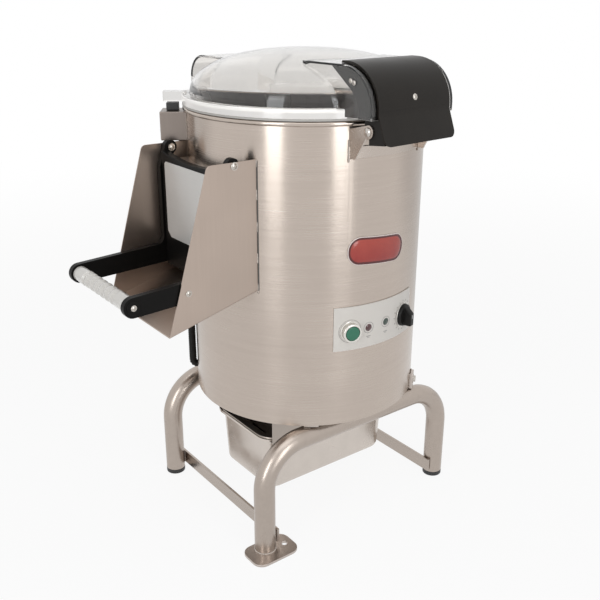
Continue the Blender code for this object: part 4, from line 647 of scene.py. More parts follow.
DRUM_WALL = 0.0015
DRUM_BOTTOM = 0.192
DRUM_FOOT_EDGE = 0.0004
RIM_HEIGHT = 0.6375
RIM_BEAD = 0.0035
DOORWAY_HALF_WIDTH = 0.0767
DOORWAY_LOW = 0.4055
DOORWAY_TOP = 0.5655
CONTROL_LEVEL = 0.342
CONTROLS = {
    "button": (-16.2, 0.0, 0.0114), "red": (-6.3, 0.0, 0.0055),
    "green": (4.2, 0.0015, 0.0055), "timer": (17.8, 0.0, 0.0045)}
SWITCH_AZIMUTH = -124.0
CONDUIT_ENTRY = 0.215
CONDUIT_BORE = 0.0065
BEYOND = 0.004
DRUM_SEAM_AZIMUTH = 152.0
DRUM_SEAM_SINK = 0.0004
DRUM_SEAM_ENDS = (DRUM_BOTTOM + 0.002, RIM_HEIGHT - 0.006)

drum_inside = DRUM_RADIUS - DRUM_WALL


def apart(tree, at):
    """A place split into its three parts; the others come with also()."""
    return place(tree, "ShaderNodeSeparateXYZ", {}, {0: at})


def round_the_girth(tree):
    """Where a point lies on the drum: its place, its turn round the girth, and its height."""
    at = where(tree)
    parts = apart(tree, at)
    return at, parts.also(0).reckon("ARCTAN2", parts.also(1) * -1.0), parts.also(2)


def drum_finish():
    """Fine grinding marks round the girth, broader polish bands, and hand marks."""
    made, tree, shader = finish("ground_drum_steel", 0.30, 1.0, Anisotropic=0.72, Anisotropic_Rotation=0.25)
    at, turn, height = round_the_girth(tree)
    fine_at = place(tree, "ShaderNodeCombineXYZ", {}, {0: turn * 1.3, 1: height * 900.0, 2: 0.0})
    broad_at = place(tree, "ShaderNodeCombineXYZ", {}, {0: turn * 0.9, 1: height * 120.0, 2: 3.0})
    fine = speckle(tree, fine_at, 1.0, 3.0, 0.75)
    hand = speckle(tree, at, 14.0, 3.0, 0.6)
    grain = fine * 0.6 + speckle(tree, broad_at, 1.0, 3.0) * 0.4
    give(shader, "Base Color", mixed(tree, grain * 0.7 + hand * 0.3, (0.42, 0.36, 0.315), (0.60, 0.525, 0.465)))
    give(shader, "Roughness", 0.24 + (fine - 0.5) * 0.22 + (hand - 0.5) * 0.10)
    raised(tree, shader, grain, 0.00003, 0.5)
    return made


drum_steel = drum_finish()


def combined(operation, target, *tools, look=None):
    """Cuts tools out of a piece, adds them, or keeps what they share, and deletes the tools."""
    for tool in tools:
        step = target.modifiers.new(tool.name, "BOOLEAN")
        step.operation = operation
        step.solver = "EXACT"
        step.object = tool
    made = settle(target, look=look)
    for tool in tools:
        bpy.data.objects.remove(tool, do_unlink=True)
    return made


def bore(name, radius, start, end, stood=None):
    """A round cutter along local Z."""
    return lathe(name, [(0.0, end), (radius, end), (radius, start), (0.0, start)], 48, stood)


def turn_x(angle):
    return Matrix.Rotation(math.radians(angle), 4, "X")


def facing_out(azimuth, height, distance=0.0):
    """Local Z points out of the drum at an azimuth and a height."""
    return turn_z(azimuth) @ Matrix.Translation((0.0, -distance, height)) @ turn_x(90.0)


def at_control(control, distance=0.0):
    azimuth, lift, radius = CONTROLS[control]
    return facing_out(azimuth, CONTROL_LEVEL + lift, distance)


def panel_bores(start, end):
    return [
        bore(control + "_bore", radius, start, end, at_control(control))
        for control, (azimuth, lift, radius) in CONTROLS.items()]


bead_middle = (drum_inside + RIM_BEAD, RIM_HEIGHT)
under_bead = math.degrees(math.acos((DRUM_RADIUS - bead_middle[0]) / RIM_BEAD))
profile = arc(bead_middle, RIM_BEAD, 180.0, -under_bead, 18)
profile += [
    (DRUM_RADIUS, DRUM_BOTTOM + DRUM_FOOT_EDGE), (DRUM_RADIUS - DRUM_FOOT_EDGE, DRUM_BOTTOM),
    (drum_inside, DRUM_BOTTOM)]
drum = lathe("drum_rolled", profile, 192, sharp=50.0)
doorway = block(
    "doorway", (-DRUM_RADIUS - BEYOND, -DOORWAY_HALF_WIDTH, DOORWAY_LOW),
    (-DRUM_RADIUS / 2.0, DOORWAY_HALF_WIDTH, DOORWAY_TOP), edge=0.0)
gland = bore(
    "gland_bore", CONDUIT_BORE, drum_inside - BEYOND, DRUM_RADIUS + BEYOND,
    facing_out(SWITCH_AZIMUTH, CONDUIT_ENTRY))
bores = panel_bores(drum_inside - BEYOND * 2.0, DRUM_RADIUS + BEYOND)
drum = combined("DIFFERENCE", drum, doorway, gland, *bores, look=drum_steel)
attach(drum, "machine")
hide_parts("drum_shell")
seam = [(0.0, -DRUM_RADIUS + DRUM_SEAM_SINK, z) for z in DRUM_SEAM_ENDS]
drum_seam = weld("drum_seam", [(turned_points(turn_z(DRUM_SEAM_AZIMUTH), seam), False)], 0.0009, 0.0011, 21)
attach(drum_seam, "machine")


# Inside of the peeling chamber
# Gritted panels line the wall with bare steel between them; a gritted plate with three waves
# turns over the fixed floor, held by a domed nut over a rubber seal.

LINER_BARE_RADIUS = 0.1739
LINER_FACE = 0.1735
LINER_BACK = drum_inside - 0.0001
LINER_EDGE = 0.6306
LINER_TOP = 0.6362
LINER_PANELS = ((-133.7, -28.3), (-13.7, 31.7), (46.3, 91.7), (106.3, 151.7), (166.3, 211.7))
LINER_STEPS = 24
PLATE_RADIUS = 0.1705
PLATE_RIM = 0.001
PLATE_RINGS = 20
WAVE_TOP = 0.4005
WAVE_LOW = 0.3945
WAVE_HEIGHT = 0.011
WAVE_HUB = (0.022, 0.3895)
WAVE_BORE = 0.0053
WAVE_COUNT = 3
WAVE_START = 0.2
WAVE_FULL = 0.6


def reach_of(first, second):
    """How far a point is from the meeting of two lines."""
    return (first ** 2.0 + second ** 2.0) ** 0.5


def grit_finish(name, bare_beyond=None):
    """Silicon carbide grit in resin; beyond a radius the steel under it shows."""
    made, tree, shader = finish(name, 0.85)
    at = where(tree)
    grit = place(tree, "ShaderNodeTexVoronoi", {"feature": "F1"}, {"Vector": at, "Scale": 650.0})
    wear = speckle(tree, at, 22.0, 3.0)
    dark = mixed(tree, grit * 0.7 + wear * 0.3, (0.022, 0.019, 0.017), (0.13, 0.11, 0.10))
    if bare_beyond is None:
        give(shader, "Base Color", dark)
        give(shader, "Roughness", 0.72 + wear * 0.2)
        raised(tree, shader, grit, 0.0006, 0.9)
        return made
    parts = apart(tree, at)
    bare = reach_of(parts, parts.also(1)) > bare_beyond
    give(shader, "Base Color", mixed(tree, bare, dark, (0.58, 0.55, 0.52)))
    give(shader, "Metallic", bare * 1.0)
    give(shader, "Roughness", 0.85 - bare * 0.5 + (wear - 0.5) * 0.1)
    raised(tree, shader, grit * (1.0 - bare), 0.0006, 0.9)
    return made


def dress(look, *names):
    """Gives a finish to nodes of the frame that keep their own shape."""
    for name in names:
        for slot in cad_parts[name].material_slots:
            slot.material = look


def girth_strip(shape, first, last, steps, rows):
    """Sweeps corners of (radius, height) round the drum between two azimuths."""
    columns = []
    for step in range(steps + 1):
        turn = math.radians(first + (last - first) * step / steps)
        spots = [(reach * math.sin(turn), -reach * math.cos(turn), z) for reach, z in rows]
        columns.append([shape.verts.new(spot) for spot in spots])
    for column, following in zip(columns, columns[1:]):
        between(shape, column, following)
    shape.faces.new(columns[0])
    shape.faces.new(columns[-1][::-1])


wall_grit = grit_finish("gritted_wall_panels", LINER_BARE_RADIUS)
dress(wall_grit, "abrasive_liner")
shape = bmesh.new()
rows = ((LINER_BACK, LINER_TOP), (LINER_BACK, LINER_EDGE), (LINER_FACE, LINER_EDGE), (LINER_FACE, LINER_TOP))
for first, last in LINER_PANELS:
    girth_strip(shape, first, last, LINER_STEPS, rows)
edge_strips = settle(from_shape("liner_edge_strips", shape), look=wall_grit)
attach(edge_strips, "machine")

plate_grit = grit_finish("gritted_turning_plate")
profile = [(WAVE_BORE, WAVE_TOP)]
profile += [(PLATE_RADIUS * share / PLATE_RINGS, WAVE_TOP) for share in range(2, PLATE_RINGS)]
profile += [
    (PLATE_RADIUS - PLATE_RIM, WAVE_TOP), (PLATE_RADIUS, WAVE_TOP - PLATE_RIM), (PLATE_RADIUS, WAVE_LOW),
    (WAVE_HUB[0], WAVE_LOW), WAVE_HUB, (WAVE_BORE, WAVE_HUB[1])]
waved_plate = lathe("waved_plate", profile, 144, look=plate_grit)
for vertex in waved_plate.data.vertices:
    reach = math.hypot(vertex.co.x, vertex.co.y) / PLATE_RADIUS
    crest = max(0.0, math.cos(WAVE_COUNT * math.atan2(vertex.co.y, vertex.co.x))) ** 2.0
    if vertex.co.z > (WAVE_TOP + WAVE_LOW) / 2.0:
        share = min(1.0, max(0.0, (reach - WAVE_START) / (WAVE_FULL - WAVE_START)))
        vertex.co.z += WAVE_HEIGHT * crest * share
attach(waved_plate, "peeling_drive")
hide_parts("peeling_plate")

inner_steel = ground_steel("chamber_floor_steel", (0.51, 0.467, 0.427), 0.33, (60.0, 60.0, 60.0), 0.08)
turned_steel = ground_steel("turned_steel", (0.561, 0.525, 0.49), 0.20, (30.0, 30.0, 900.0), 0.03)
cast_grey = skinned(
    "cast_housing_grey", 0.55, (0.20, 0.20, 0.21), (0.36, 0.36, 0.37), 320.0, 0.0002, 0.6, 4.0, 0.7, 0.7)
seal_rubber = skinned("seal_rubber", 0.7, (0.012, 0.012, 0.012), (0.03, 0.03, 0.03), 700.0, 0.00004)
motor_paint = skinned("motor_paint", 0.45, (0.07, 0.085, 0.10), (0.11, 0.13, 0.16), 180.0, 0.00006)
dress(inner_steel, "chamber_floor", "drain_pipe", "bottom_plate", "opening_collar")
dress(turned_steel, "plate_nut", "drive_shaft")
dress(cast_grey, "bearing_housing", "driven_pulley", "motor_pulley")
dress(seal_rubber, "shaft_seal", "drive_belt")
dress(motor_paint, "motor_housing")


# Control panel
# A pale printed film on a thin backing plate, bent to the drum and bonded on it. Its print is
# generic: a ring and short rules at each lamp, a ring at the button, ticks round the timer.

PANEL_BACK = 0.1783
PANEL_FACE = 0.1795
PANEL_LEFT = -24.2
PANEL_RIGHT = 25.2
PANEL_BOTTOM = 0.312
PANEL_TOP = 0.379
PANEL_STEPS = 72
CONTROL_RINGS = {"red": (0.0082, 0.0007), "green": (0.0082, 0.0007), "button": (0.0172, 0.0006)}
LAMP_RULES = ((-0.0135, 0.0038, 0.0005), (-0.0155, 0.0022, 0.0004))
TIMER_TICKS = 16.0
TICK_EDGE = 0.86
TICK_RING = (0.0215, 0.0238)


def ring_mark(across, along, radius, width):
    """One where a thin printed ring lies, else zero."""
    return 1.0 - ((reach_of(across, along) - radius).reckon("ABSOLUTE") > width / 2.0)


def bar_mark(across, along, half_width, half_height):
    """One where a short printed rule lies, else zero."""
    return (1.0 - (across.reckon("ABSOLUTE") > half_width)) * (1.0 - (along.reckon("ABSOLUTE") > half_height))


def film_finish():
    """Matt pale film with its print in a dark ink."""
    made, tree, shader = finish("printed_panel_film", 0.38, 0.0, Coat_Weight=0.15, Coat_Roughness=0.2)
    at, turn, height = round_the_girth(tree)
    along = height - CONTROL_LEVEL
    across = {
        control: turn * DRUM_RADIUS - math.radians(azimuth) * DRUM_RADIUS
        for control, (azimuth, lift, radius) in CONTROLS.items()}
    marks = [
        ring_mark(across[control], along - CONTROLS[control][1], radius, width)
        for control, (radius, width) in CONTROL_RINGS.items()]
    marks += [
        bar_mark(across[control], along - drop, half_width, half_height)
        for control in ("red", "green") for drop, half_width, half_height in LAMP_RULES]
    away = reach_of(across["timer"], along)
    tick = (across["timer"].reckon("ARCTAN2", along) * TIMER_TICKS).reckon("COSINE") > TICK_EDGE
    marks.append(tick * (away > TICK_RING[0]) * (1.0 - (away > TICK_RING[1])))
    ink = marks[0]
    for mark in marks[1:]:
        ink = ink + mark
    grain = speckle(tree, at, 900.0)
    paper = mixed(tree, grain * 0.5 + speckle(tree, at, 20.0) * 0.5, (0.62, 0.58, 0.54), (0.75, 0.71, 0.66))
    give(shader, "Base Color", mixed(tree, ink * 0.75, paper, (0.10, 0.095, 0.09)))
    give(shader, "Roughness", 0.36 + grain * 0.12)
    raised(tree, shader, grain, 0.00002, 0.4)
    return made


shape = bmesh.new()
rows = (
    (PANEL_FACE, PANEL_TOP), (PANEL_FACE, PANEL_BOTTOM), (PANEL_BACK, PANEL_BOTTOM), (PANEL_BACK, PANEL_TOP))
girth_strip(shape, PANEL_LEFT, PANEL_RIGHT, PANEL_STEPS, rows)
bores = panel_bores(DRUM_RADIUS - BEYOND, DRUM_RADIUS + BEYOND)
panel = combined("DIFFERENCE", settle(from_shape("panel_film", shape)), *bores, look=film_finish())
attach(panel, "machine")
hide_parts("control_panel")


# Badge plate
# A pressed pill-shaped metal plate with a pale rim and a plain red enamelled field, bonded to
# the drum a little out of level.

BADGE_HALF_WIDTH = 0.0506
BADGE_HALF_HEIGHT = 0.0206
BADGE_END = 0.0195
BADGE_LEAST_END = 0.0008
BADGE_TURN = math.radians(4.7)
BADGE_AZIMUTH = -2.1
BADGE_LEVEL = 0.458
BADGE_BACK = (0.003, 0.0003)
BADGE_RINGS = (
    (0.0, 0.0003), (0.0, 0.0011), (0.0003, 0.0015), (0.0011, 0.0016), (0.0017, 0.0013), (0.0022, 0.0010),
    (0.0042, 0.0011), (0.0055, 0.0016), (0.0075, 0.0021), (0.0110, 0.0024), (0.0150, 0.0026))
BADGE_CROWN = 0.0027
BADGE_RED_FROM = 0.0016
BADGE_FIELD_FROM = 0.0045
BADGE_SIDE_STEPS = 24


def enamel(name, low, high):
    made, tree, shader = finish(name, 0.20, 0.0, Coat_Weight=0.25, Coat_Roughness=0.06)
    at = where(tree)
    flow = speckle(tree, at, 60.0)
    # Painted highlight: each badge colour is painted lighter towards the top of the plate, standing in for the
    # reflection on its domed face.
    rise = (apart(tree, at).also(2) - BADGE_LEVEL) / (BADGE_HALF_HEIGHT * 2.0) + 0.5
    give(shader, "Base Color", mixed(tree, (flow * 0.4 + rise * 0.6).reckon("MAXIMUM", 0.0), low, high))
    give(shader, "Roughness", 0.18 + flow * 0.08)
    raised(tree, shader, speckle(tree, at, 260.0), 0.00002, 0.35)
    return made


def on_the_drum(across, along, height, azimuth, level):
    """A point given as seen from outside: along the girth, up the drum, and proud of it."""
    out = DRUM_RADIUS + height
    turn = math.radians(azimuth) + across / DRUM_RADIUS
    return out * math.sin(turn), -out * math.cos(turn), level + along


def badge_points(shape, inset, height, flat=False):
    """The pill, drawn in by an inset, with points along its straight sides too, laid on the drum.

    When flat, each point moves to the nearest place on the plate's own middle line.
    """
    end = max(BADGE_LEAST_END, BADGE_END - inset)
    corners = pill(BADGE_HALF_WIDTH - inset, BADGE_HALF_HEIGHT - inset, end, 14)
    spine_end = BADGE_HALF_WIDTH - BADGE_HALF_HEIGHT
    points = []
    for spot, following in zip(corners, corners[1:] + corners[:1]):
        steps = BADGE_SIDE_STEPS if abs(following[0] - spot[0]) > BADGE_HALF_WIDTH else 1
        for step in range(steps):
            x, z = (a + (b - a) * step / steps for a, b in zip(spot, following))
            if flat:
                x, z = max(-spine_end, min(spine_end, x)), 0.0
            across = x * math.cos(BADGE_TURN) + z * math.sin(BADGE_TURN)
            along = z * math.cos(BADGE_TURN) - x * math.sin(BADGE_TURN)
            points.append(shape.verts.new(on_the_drum(across, along, height, BADGE_AZIMUTH, BADGE_LEVEL)))
    return points


shape = bmesh.new()
rings = [badge_points(shape, inset, height) for inset, height in BADGE_RINGS]
for (inset, height), ring, following in zip(BADGE_RINGS[1:], rings, rings[1:]):
    for face in between(shape, ring, following):
        face.material_index = 0 if inset <= BADGE_RED_FROM else (1 if inset <= BADGE_FIELD_FROM else 2)
spine = badge_points(shape, BADGE_RINGS[-1][0], BADGE_CROWN, True)
for face in between(shape, rings[-1], spine):
    face.material_index = 2
bmesh.ops.remove_doubles(shape, verts=spine, dist=SAME)
back = badge_points(shape, *BADGE_BACK)
between(shape, rings[0][::-1], back[::-1])
shape.faces.new(back[::-1])
bmesh.ops.triangulate(shape, faces=[face for face in shape.faces if len(face.verts) > 4])
badge = from_shape("badge_enamelled", shape)
badge.data.materials.append(enamel("badge_pale_rim_painted_highlight", (0.70, 0.60, 0.56), (0.80, 0.71, 0.67)))
badge.data.materials.append(enamel("badge_dark_red_painted_highlight", (0.075, 0.004, 0.004), (0.10, 0.006, 0.006)))
badge.data.materials.append(enamel("badge_red_painted_highlight", (0.27, 0.006, 0.006), (0.48, 0.07, 0.045)))
badge = settle(badge, sharp=60.0)
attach(badge, "machine")
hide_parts("badge_plate")


# Start button
# A green cap of moulded plastic in a broad polished bezel, with its switch body clamped behind
# the drum's wall.

BEZEL_LOW = 0.1798
BEZEL_TOP = 0.1903
BEZEL_RADIUS = 0.0142
BEZEL_ROUND = 0.0016
BEZEL_FLANGE = (0.0010, 0.0006, 0.0012)
CAP_PLAY = 0.0003
CAP_LEAD_IN = (0.0009, 0.0008)
CAP_RADIUS = 0.0104
CAP_FACE = 0.1909
CAP_BACK = 0.1739

bezel_metal = ground_steel("bezel_metal", (0.76, 0.735, 0.693), 0.24, (260.0, 260.0, 260.0), 0.05, 0.05)


def moulded(name, low, high, roughness, scale=700.0, depth=0.00003, **constants):
    """Injection-moulded plastic: a fine skin, with slight changes of tone."""
    made, tree, shader = finish(name, roughness, 0.0, **constants)
    at = where(tree)
    skin = speckle(tree, at, scale)
    tone = speckle(tree, at, 25.0, 3.0)
    give(shader, "Base Color", mixed(tree, skin * 0.4 + tone * 0.6, low, high))
    give(shader, "Roughness", roughness + (tone - 0.5) * 0.12)
    raised(tree, shader, skin, depth, 0.5)
    return made


button_green = moulded(
    "button_green", (0.008, 0.118, 0.062), (0.02, 0.184, 0.104), 0.3, Coat_Weight=0.3, Coat_Roughness=0.1)
switch_black = moulded("switch_black", (0.012, 0.012, 0.012), (0.03, 0.03, 0.03), 0.45)
flange, flange_rise, flange_step = BEZEL_FLANGE
profile = [(CAP_RADIUS + CAP_PLAY, BEZEL_TOP - CAP_LEAD_IN[1]), (CAP_RADIUS + CAP_LEAD_IN[0], BEZEL_TOP)]
profile.append((BEZEL_RADIUS - BEZEL_ROUND, BEZEL_TOP))
profile += arc((BEZEL_RADIUS - BEZEL_ROUND, BEZEL_TOP - BEZEL_ROUND), BEZEL_ROUND, 75.0, 0.0, 4)
profile += [
    (BEZEL_RADIUS, BEZEL_LOW + flange_step), (BEZEL_RADIUS + flange, BEZEL_LOW + flange_rise),
    (BEZEL_RADIUS + flange, BEZEL_LOW), (CAP_RADIUS + CAP_PLAY, BEZEL_LOW)]
bezel = lathe("bezel_ring", profile, 64, at_control("button"), look=bezel_metal)
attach(bezel, "machine")
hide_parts("start_bezel")


def faced(radius, face, falls):
    """The top of a round cap, as (share of its radius, or what its radius lacks, and the fall)."""
    return [(radius * share - short, face - fall) for share, short, fall in falls]


profile = [(0.0, CAP_FACE)] + faced(CAP_RADIUS, CAP_FACE, (
    (0.55, 0.0, 0.0), (1.0, 0.0012, 0.0001), (1.0, 0.0003, 0.0005), (1.0, 0.0, 0.0012)))
profile += [(CAP_RADIUS, CAP_BACK), (0.0, CAP_BACK)]
green_cap = lathe("green_cap", profile, 48, at_control("button"), look=button_green)
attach(green_cap, "start_push")
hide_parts("start_button")
dress(switch_black, "start_switch_body", "timer_body")


# Signal lamps
# Two small lenses of clear coloured plastic, red and green, pressed through the film from behind.

LENS_RADIUS = 0.0052
LENS_TOP = 0.1807
LENS_LOW = 0.1725

LENS_LOOK = {"scale": 400.0, "depth": 0.00002, "Coat_Weight": 0.8, "Coat_Roughness": 0.05}

lens_red = moulded("lens_red", (0.05, 0.004, 0.006), (0.08, 0.006, 0.009), 0.18, **LENS_LOOK)
lens_green = moulded("lens_green", (0.005, 0.024, 0.013), (0.009, 0.04, 0.02), 0.18, **LENS_LOOK)
profile = [(0.0, LENS_TOP)] + faced(LENS_RADIUS, LENS_TOP, (
    (0.35, 0.0, 0.00008), (0.7, 0.0, 0.0004), (0.92, 0.0, 0.0009), (1.0, 0.0, 0.0013)))
profile += [(LENS_RADIUS, LENS_LOW), (0.0, LENS_LOW)]
for control, look in (("red", lens_red), ("green", lens_green)):
    lens = lathe(control + "_lamp_lens", profile, 40, at_control(control), look=look)
    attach(lens, "machine")
    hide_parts(control + "_lamp")


# Timer
# A thin satin dial with a ring of marks, and a black knob with a pointer wing, which turns the
# clockwork body behind the wall.

DIAL_LOW = 0.1798
DIAL_TOP = 0.1808
DIAL_RADIUS = 0.0195
DIAL_EDGE = (0.0005, 0.0004)
DIAL_BORE = 0.0045
DIAL_MARKS = {"Marks": 20, "Ring radius": 0.0176, "Mark length": 0.0024, "Mark width": 0.0006}
MARK_THICKNESS = 0.00012
MARK_LIFT = 0.00002
SKIRT_LOW = 0.1811
SKIRT_TOP = 0.1851
SKIRT_RADIUS = 0.0172
SKIRT_ROUND = 0.0018
SKIRT_LEAN = 0.0004
SKIRT_FOOT = (0.0002, 0.001)
SPINDLE_RADIUS = 0.0035
SPINDLE_LOW = 0.1745
WING_LENGTH = 0.0296
WING_THICKNESS = 0.010
WING_TOP = 0.1966
WING_SINK = 0.003
WING_EDGE = 0.0014
POINTER_FALL = 0.0105
POINTER_NOSE = 0.001
POINTER_HALF_WIDTH = 0.0006
POINTER_SHORT = 0.0016
POINTER_SINK = 0.0002
POINTER_RISE = 0.0001
KNOB_TURN = 90.0

dial_metal = ground_steel("dial_metal", (0.722, 0.698, 0.657), 0.3, (40.0, 40.0, 40.0), 0.04, 0.04)
knob_black = moulded(
    "knob_black", (0.007, 0.0066, 0.006), (0.016, 0.015, 0.014), 0.36, Specular_IOR_Level=0.16)
mark_paint = moulded("mark_paint", (0.02, 0.02, 0.02), (0.05, 0.05, 0.05), 0.6)
mark_white = moulded("mark_white", (0.70, 0.70, 0.68), (0.80, 0.80, 0.78), 0.5)
profile = [
    (DIAL_BORE, DIAL_TOP), (DIAL_RADIUS - DIAL_EDGE[0], DIAL_TOP), (DIAL_RADIUS, DIAL_TOP - DIAL_EDGE[1]),
    (DIAL_RADIUS, DIAL_LOW), (DIAL_BORE, DIAL_LOW)]
dial = lathe("dial_disc", profile, 72, at_control("timer"), look=dial_metal)
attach(dial, "machine")
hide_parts("timer_dial")


def mark_tree():
    """Short printed marks at even turns round a ring."""
    tree, keys, given = sized_tree("dial_marks", "Start", "Ring", DIAL_MARKS)
    circle = {"Vertices": given.also("Marks"), "Radius": given.also("Ring radius")}
    ring = place(tree, "GeometryNodeMeshCircle", {}, circle)
    size = {0: given.also("Mark length"), 1: given.also("Mark width"), 2: MARK_THICKNESS}
    mark = place(tree, "GeometryNodeMeshCube", {}, {"Size": place(tree, "ShaderNodeCombineXYZ", {}, size)})
    spot = place(tree, "GeometryNodeInputPosition")
    turn = place(tree, "FunctionNodeAlignRotationToVector", {"axis": "X"}, {"Vector": spot})
    ended(tree, given, place(
        tree, "GeometryNodeInstanceOnPoints", {}, {"Points": ring, "Instance": mark, "Rotation": turn}))
    return tree, keys


ring = in_scene("dial_ring_marks", bpy.data.meshes.new("dial_ring_marks"))
ring = grown(ring, mark_tree(), {**DIAL_MARKS, "Look": mark_paint})
ring = settle(ring, at_control("timer", DIAL_TOP + MARK_LIFT))
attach(ring, "machine")

place_knob = at_control("timer") @ turn_z(KNOB_TURN)
skirt_side = SKIRT_RADIUS - SKIRT_ROUND - SKIRT_LEAN
profile = [(0.0, SKIRT_TOP), (skirt_side, SKIRT_TOP)]
profile += arc((skirt_side, SKIRT_TOP - SKIRT_ROUND), SKIRT_ROUND, 60.0, 0.0, 4)
profile += [
    (SKIRT_RADIUS - SKIRT_FOOT[0], SKIRT_LOW + SKIRT_FOOT[1]), (SKIRT_RADIUS, SKIRT_LOW),
    (SPINDLE_RADIUS, SKIRT_LOW), (SPINDLE_RADIUS, SPINDLE_LOW), (0.0, SPINDLE_LOW)]
knob = lathe("knob_skirt", profile, 64)
half_wing = WING_LENGTH / 2.0
wing_line = [
    (-half_wing, SKIRT_TOP - WING_SINK), (half_wing, SKIRT_TOP - WING_SINK),
    (half_wing, SKIRT_TOP + POINTER_NOSE), (half_wing - POINTER_FALL, WING_TOP), (-half_wing, WING_TOP)]
wing = plate("knob_wing", [wing_line], WING_THICKNESS, turn_x(90.0), WING_EDGE, 3)
knob = settle(combined("UNION", knob, wing), place_knob, look=knob_black)
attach(knob, "timer_turn")
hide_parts("timer_knob")
pointer = block(
    "knob_pointer", (-half_wing * 0.2, -POINTER_HALF_WIDTH, WING_TOP - POINTER_SINK),
    (half_wing - POINTER_FALL - POINTER_SHORT, POINTER_HALF_WIDTH, WING_TOP + POINTER_RISE), place_knob,
    edge=0.0, look=mark_white)
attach(pointer, "timer_turn")


# Discharge chute
# Two cheeks and a sloping floor folded from one stainless sheet with tight bends, ground
# lengthwise, welded to the drum along both cheeks and sealed there.

CHUTE_HALF_WIDTH = 0.0915
CHUTE_SHEET = 0.0015
CHUTE_TOP = 0.589
CHUTE_TOP_REACH = 0.231
CHUTE_LIP_REACH = 0.2955
CHUTE_LIP = 0.3655
CHUTE_ROOT = 0.4025
CHUTE_CORNER = 0.008
CHUTE_FOLD = 0.0022
CHUTE_EDGE = 0.0003
FOLD_NEAR = 0.0005
FOLD_LEAST = 0.02
CHUTE_SEAMS = 5
CHUTE_SEAM_ENDS = 0.003
CHUTE_SEAM_HALF = 0.006
CHUTE_SEAM_SHORT = 0.001
WELD_PROUD = 0.0006
JOINT_RADIUS = 0.0011
JOINT_PLACE = (0.0002, 0.0004)
JOINT_ENDS = (0.0005, 0.002)
DRUM_CLEARANCE = 0.0002
DOOR_PIVOT = (0.188, 0.584)
CATCH = (0.2643, 0.4232)
PIVOT_BORE = 0.0033
CATCH_BORE = 0.0028
HEAD_FLANGE = 1.22
PIVOT_HEAD = (0.0055, 0.0032)
CATCH_HEAD = (0.0045, 0.0028)
HEAD_GAP = 0.0001
HEAD_ROOT = 0.0004
PIVOT_SHANK = 0.003
PIVOT_NUT = (0.0055, 0.0792, 0.003)
PLUNGER = (0.0025, 0.0890)
PLUNGER_TIP = (0.0018, 0.0888)
ALONG_Y = Matrix(((1, 0, 0, 0), (0, 0, -1, 0), (0, 1, 0, 0), (0, 0, 0, 1)))


def flush(half_width):
    """How far out the drum's wall is, at a distance to the side of its middle."""
    return math.sqrt(DRUM_RADIUS ** 2.0 - half_width ** 2.0)


def sheet_finish(name, tint, roughness, streak_scale):
    """Ground sheet with a long grain, cloudy polish and a few deeper scratches."""
    made, tree, shader = finish(name, roughness, 1.0)
    at = where(tree)
    grain = streaks(tree, at, streak_scale, 4.0, 0.75)
    cloud = speckle(tree, at, 11.0)
    nicks = streaks(tree, at, tuple(part * 0.35 for part in streak_scale), 2.0)
    nick = place(tree, "ShaderNodeMapRange", {}, {0: nicks, 1: 0.72, 2: 0.80, 3: 0.0, 4: 1.0})
    give(shader, "Base Color", mixed(
        tree, grain * 0.45 + cloud * 0.55, shaded(tint, 0.84), shaded(tint, 1.1)))
    give(shader, "Roughness", roughness + (grain - 0.5) * 0.16 + (cloud - 0.5) * 0.12 - nick * 0.05)
    raised(tree, shader, grain + nick * 0.6, 0.00002, 0.5)
    return made


cheek_steel = sheet_finish("ground_chute_sheet", (0.474, 0.39, 0.335), 0.33, (620.0, 620.0, 9.0))
chute_inside = CHUTE_HALF_WIDTH - CHUTE_SHEET
cheek_root = flush(CHUTE_HALF_WIDTH)
chute_slope = (CHUTE_ROOT - CHUTE_LIP) / (CHUTE_LIP_REACH - cheek_root)


def cheek_line(rise, beyond):
    """Side line of the chute, and of the hollow inside it."""
    far = cheek_root - DRUM_RADIUS / 5.0 - beyond
    corner = (-CHUTE_TOP_REACH - beyond + CHUTE_CORNER, CHUTE_TOP + beyond - CHUTE_CORNER)
    line = [(-far, CHUTE_ROOT + chute_slope * (cheek_root - far) + rise), (-far, CHUTE_TOP + beyond)]
    line += arc(corner, CHUTE_CORNER, 90.0, 165.0, 8)
    return line + [(-CHUTE_LIP_REACH - beyond, CHUTE_LIP - chute_slope * beyond + rise)]


def drum_body(name):
    return bore(name, DRUM_RADIUS + DRUM_CLEARANCE, 0.0, RIM_HEIGHT * 1.2)


def side_frame(side, reach, height):
    """Local Z points out of the chute to one side."""
    return Matrix.Translation((-reach, 0.0, height)) @ turn_x(-90.0 * side)


chute = plate("chute_sheet", [cheek_line(0.0, 0.0)], CHUTE_HALF_WIDTH * 2.0, ALONG_Y)
fold = chute.modifiers.new("Fold", "BEVEL")
fold.width = CHUTE_FOLD
fold.segments = 4
fold.limit_method = "WEIGHT"
weights = chute.data.attributes.new("bevel_weight_edge", "FLOAT", "EDGE")
for edge in chute.data.edges:
    ends = [chute.data.vertices[index].co for index in edge.vertices]
    low = all(abs(end.z - CHUTE_ROOT - (end.x + cheek_root) * chute_slope) < FOLD_NEAR for end in ends)
    along = abs(ends[0].y - ends[1].y) < SAME and abs(ends[0].x - ends[1].x) > FOLD_LEAST
    weights.data[edge.index].value = 1.0 if low and along else 0.0
chute = settle(chute)
hollow = plate("chute_hollow", [cheek_line(CHUTE_SHEET, BEYOND * 2.0)], chute_inside * 2.0, ALONG_Y)
hole_start, hole_end = chute_inside - BEYOND, CHUTE_HALF_WIDTH + BEYOND
holes = [
    bore("cheek_bore", radius, side * hole_start, side * hole_end, side_frame(1.0, *spot))
    for side in (-1.0, 1.0) for spot, radius in ((DOOR_PIVOT, PIVOT_BORE), (CATCH, CATCH_BORE))]
chute = combined("DIFFERENCE", chute, hollow, drum_body("drum_inside_chute"), *holes)
chute = settle(rounded(chute, CHUTE_EDGE, 2, 60.0), look=cheek_steel)
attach(chute, "machine")
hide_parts("chute_channel")

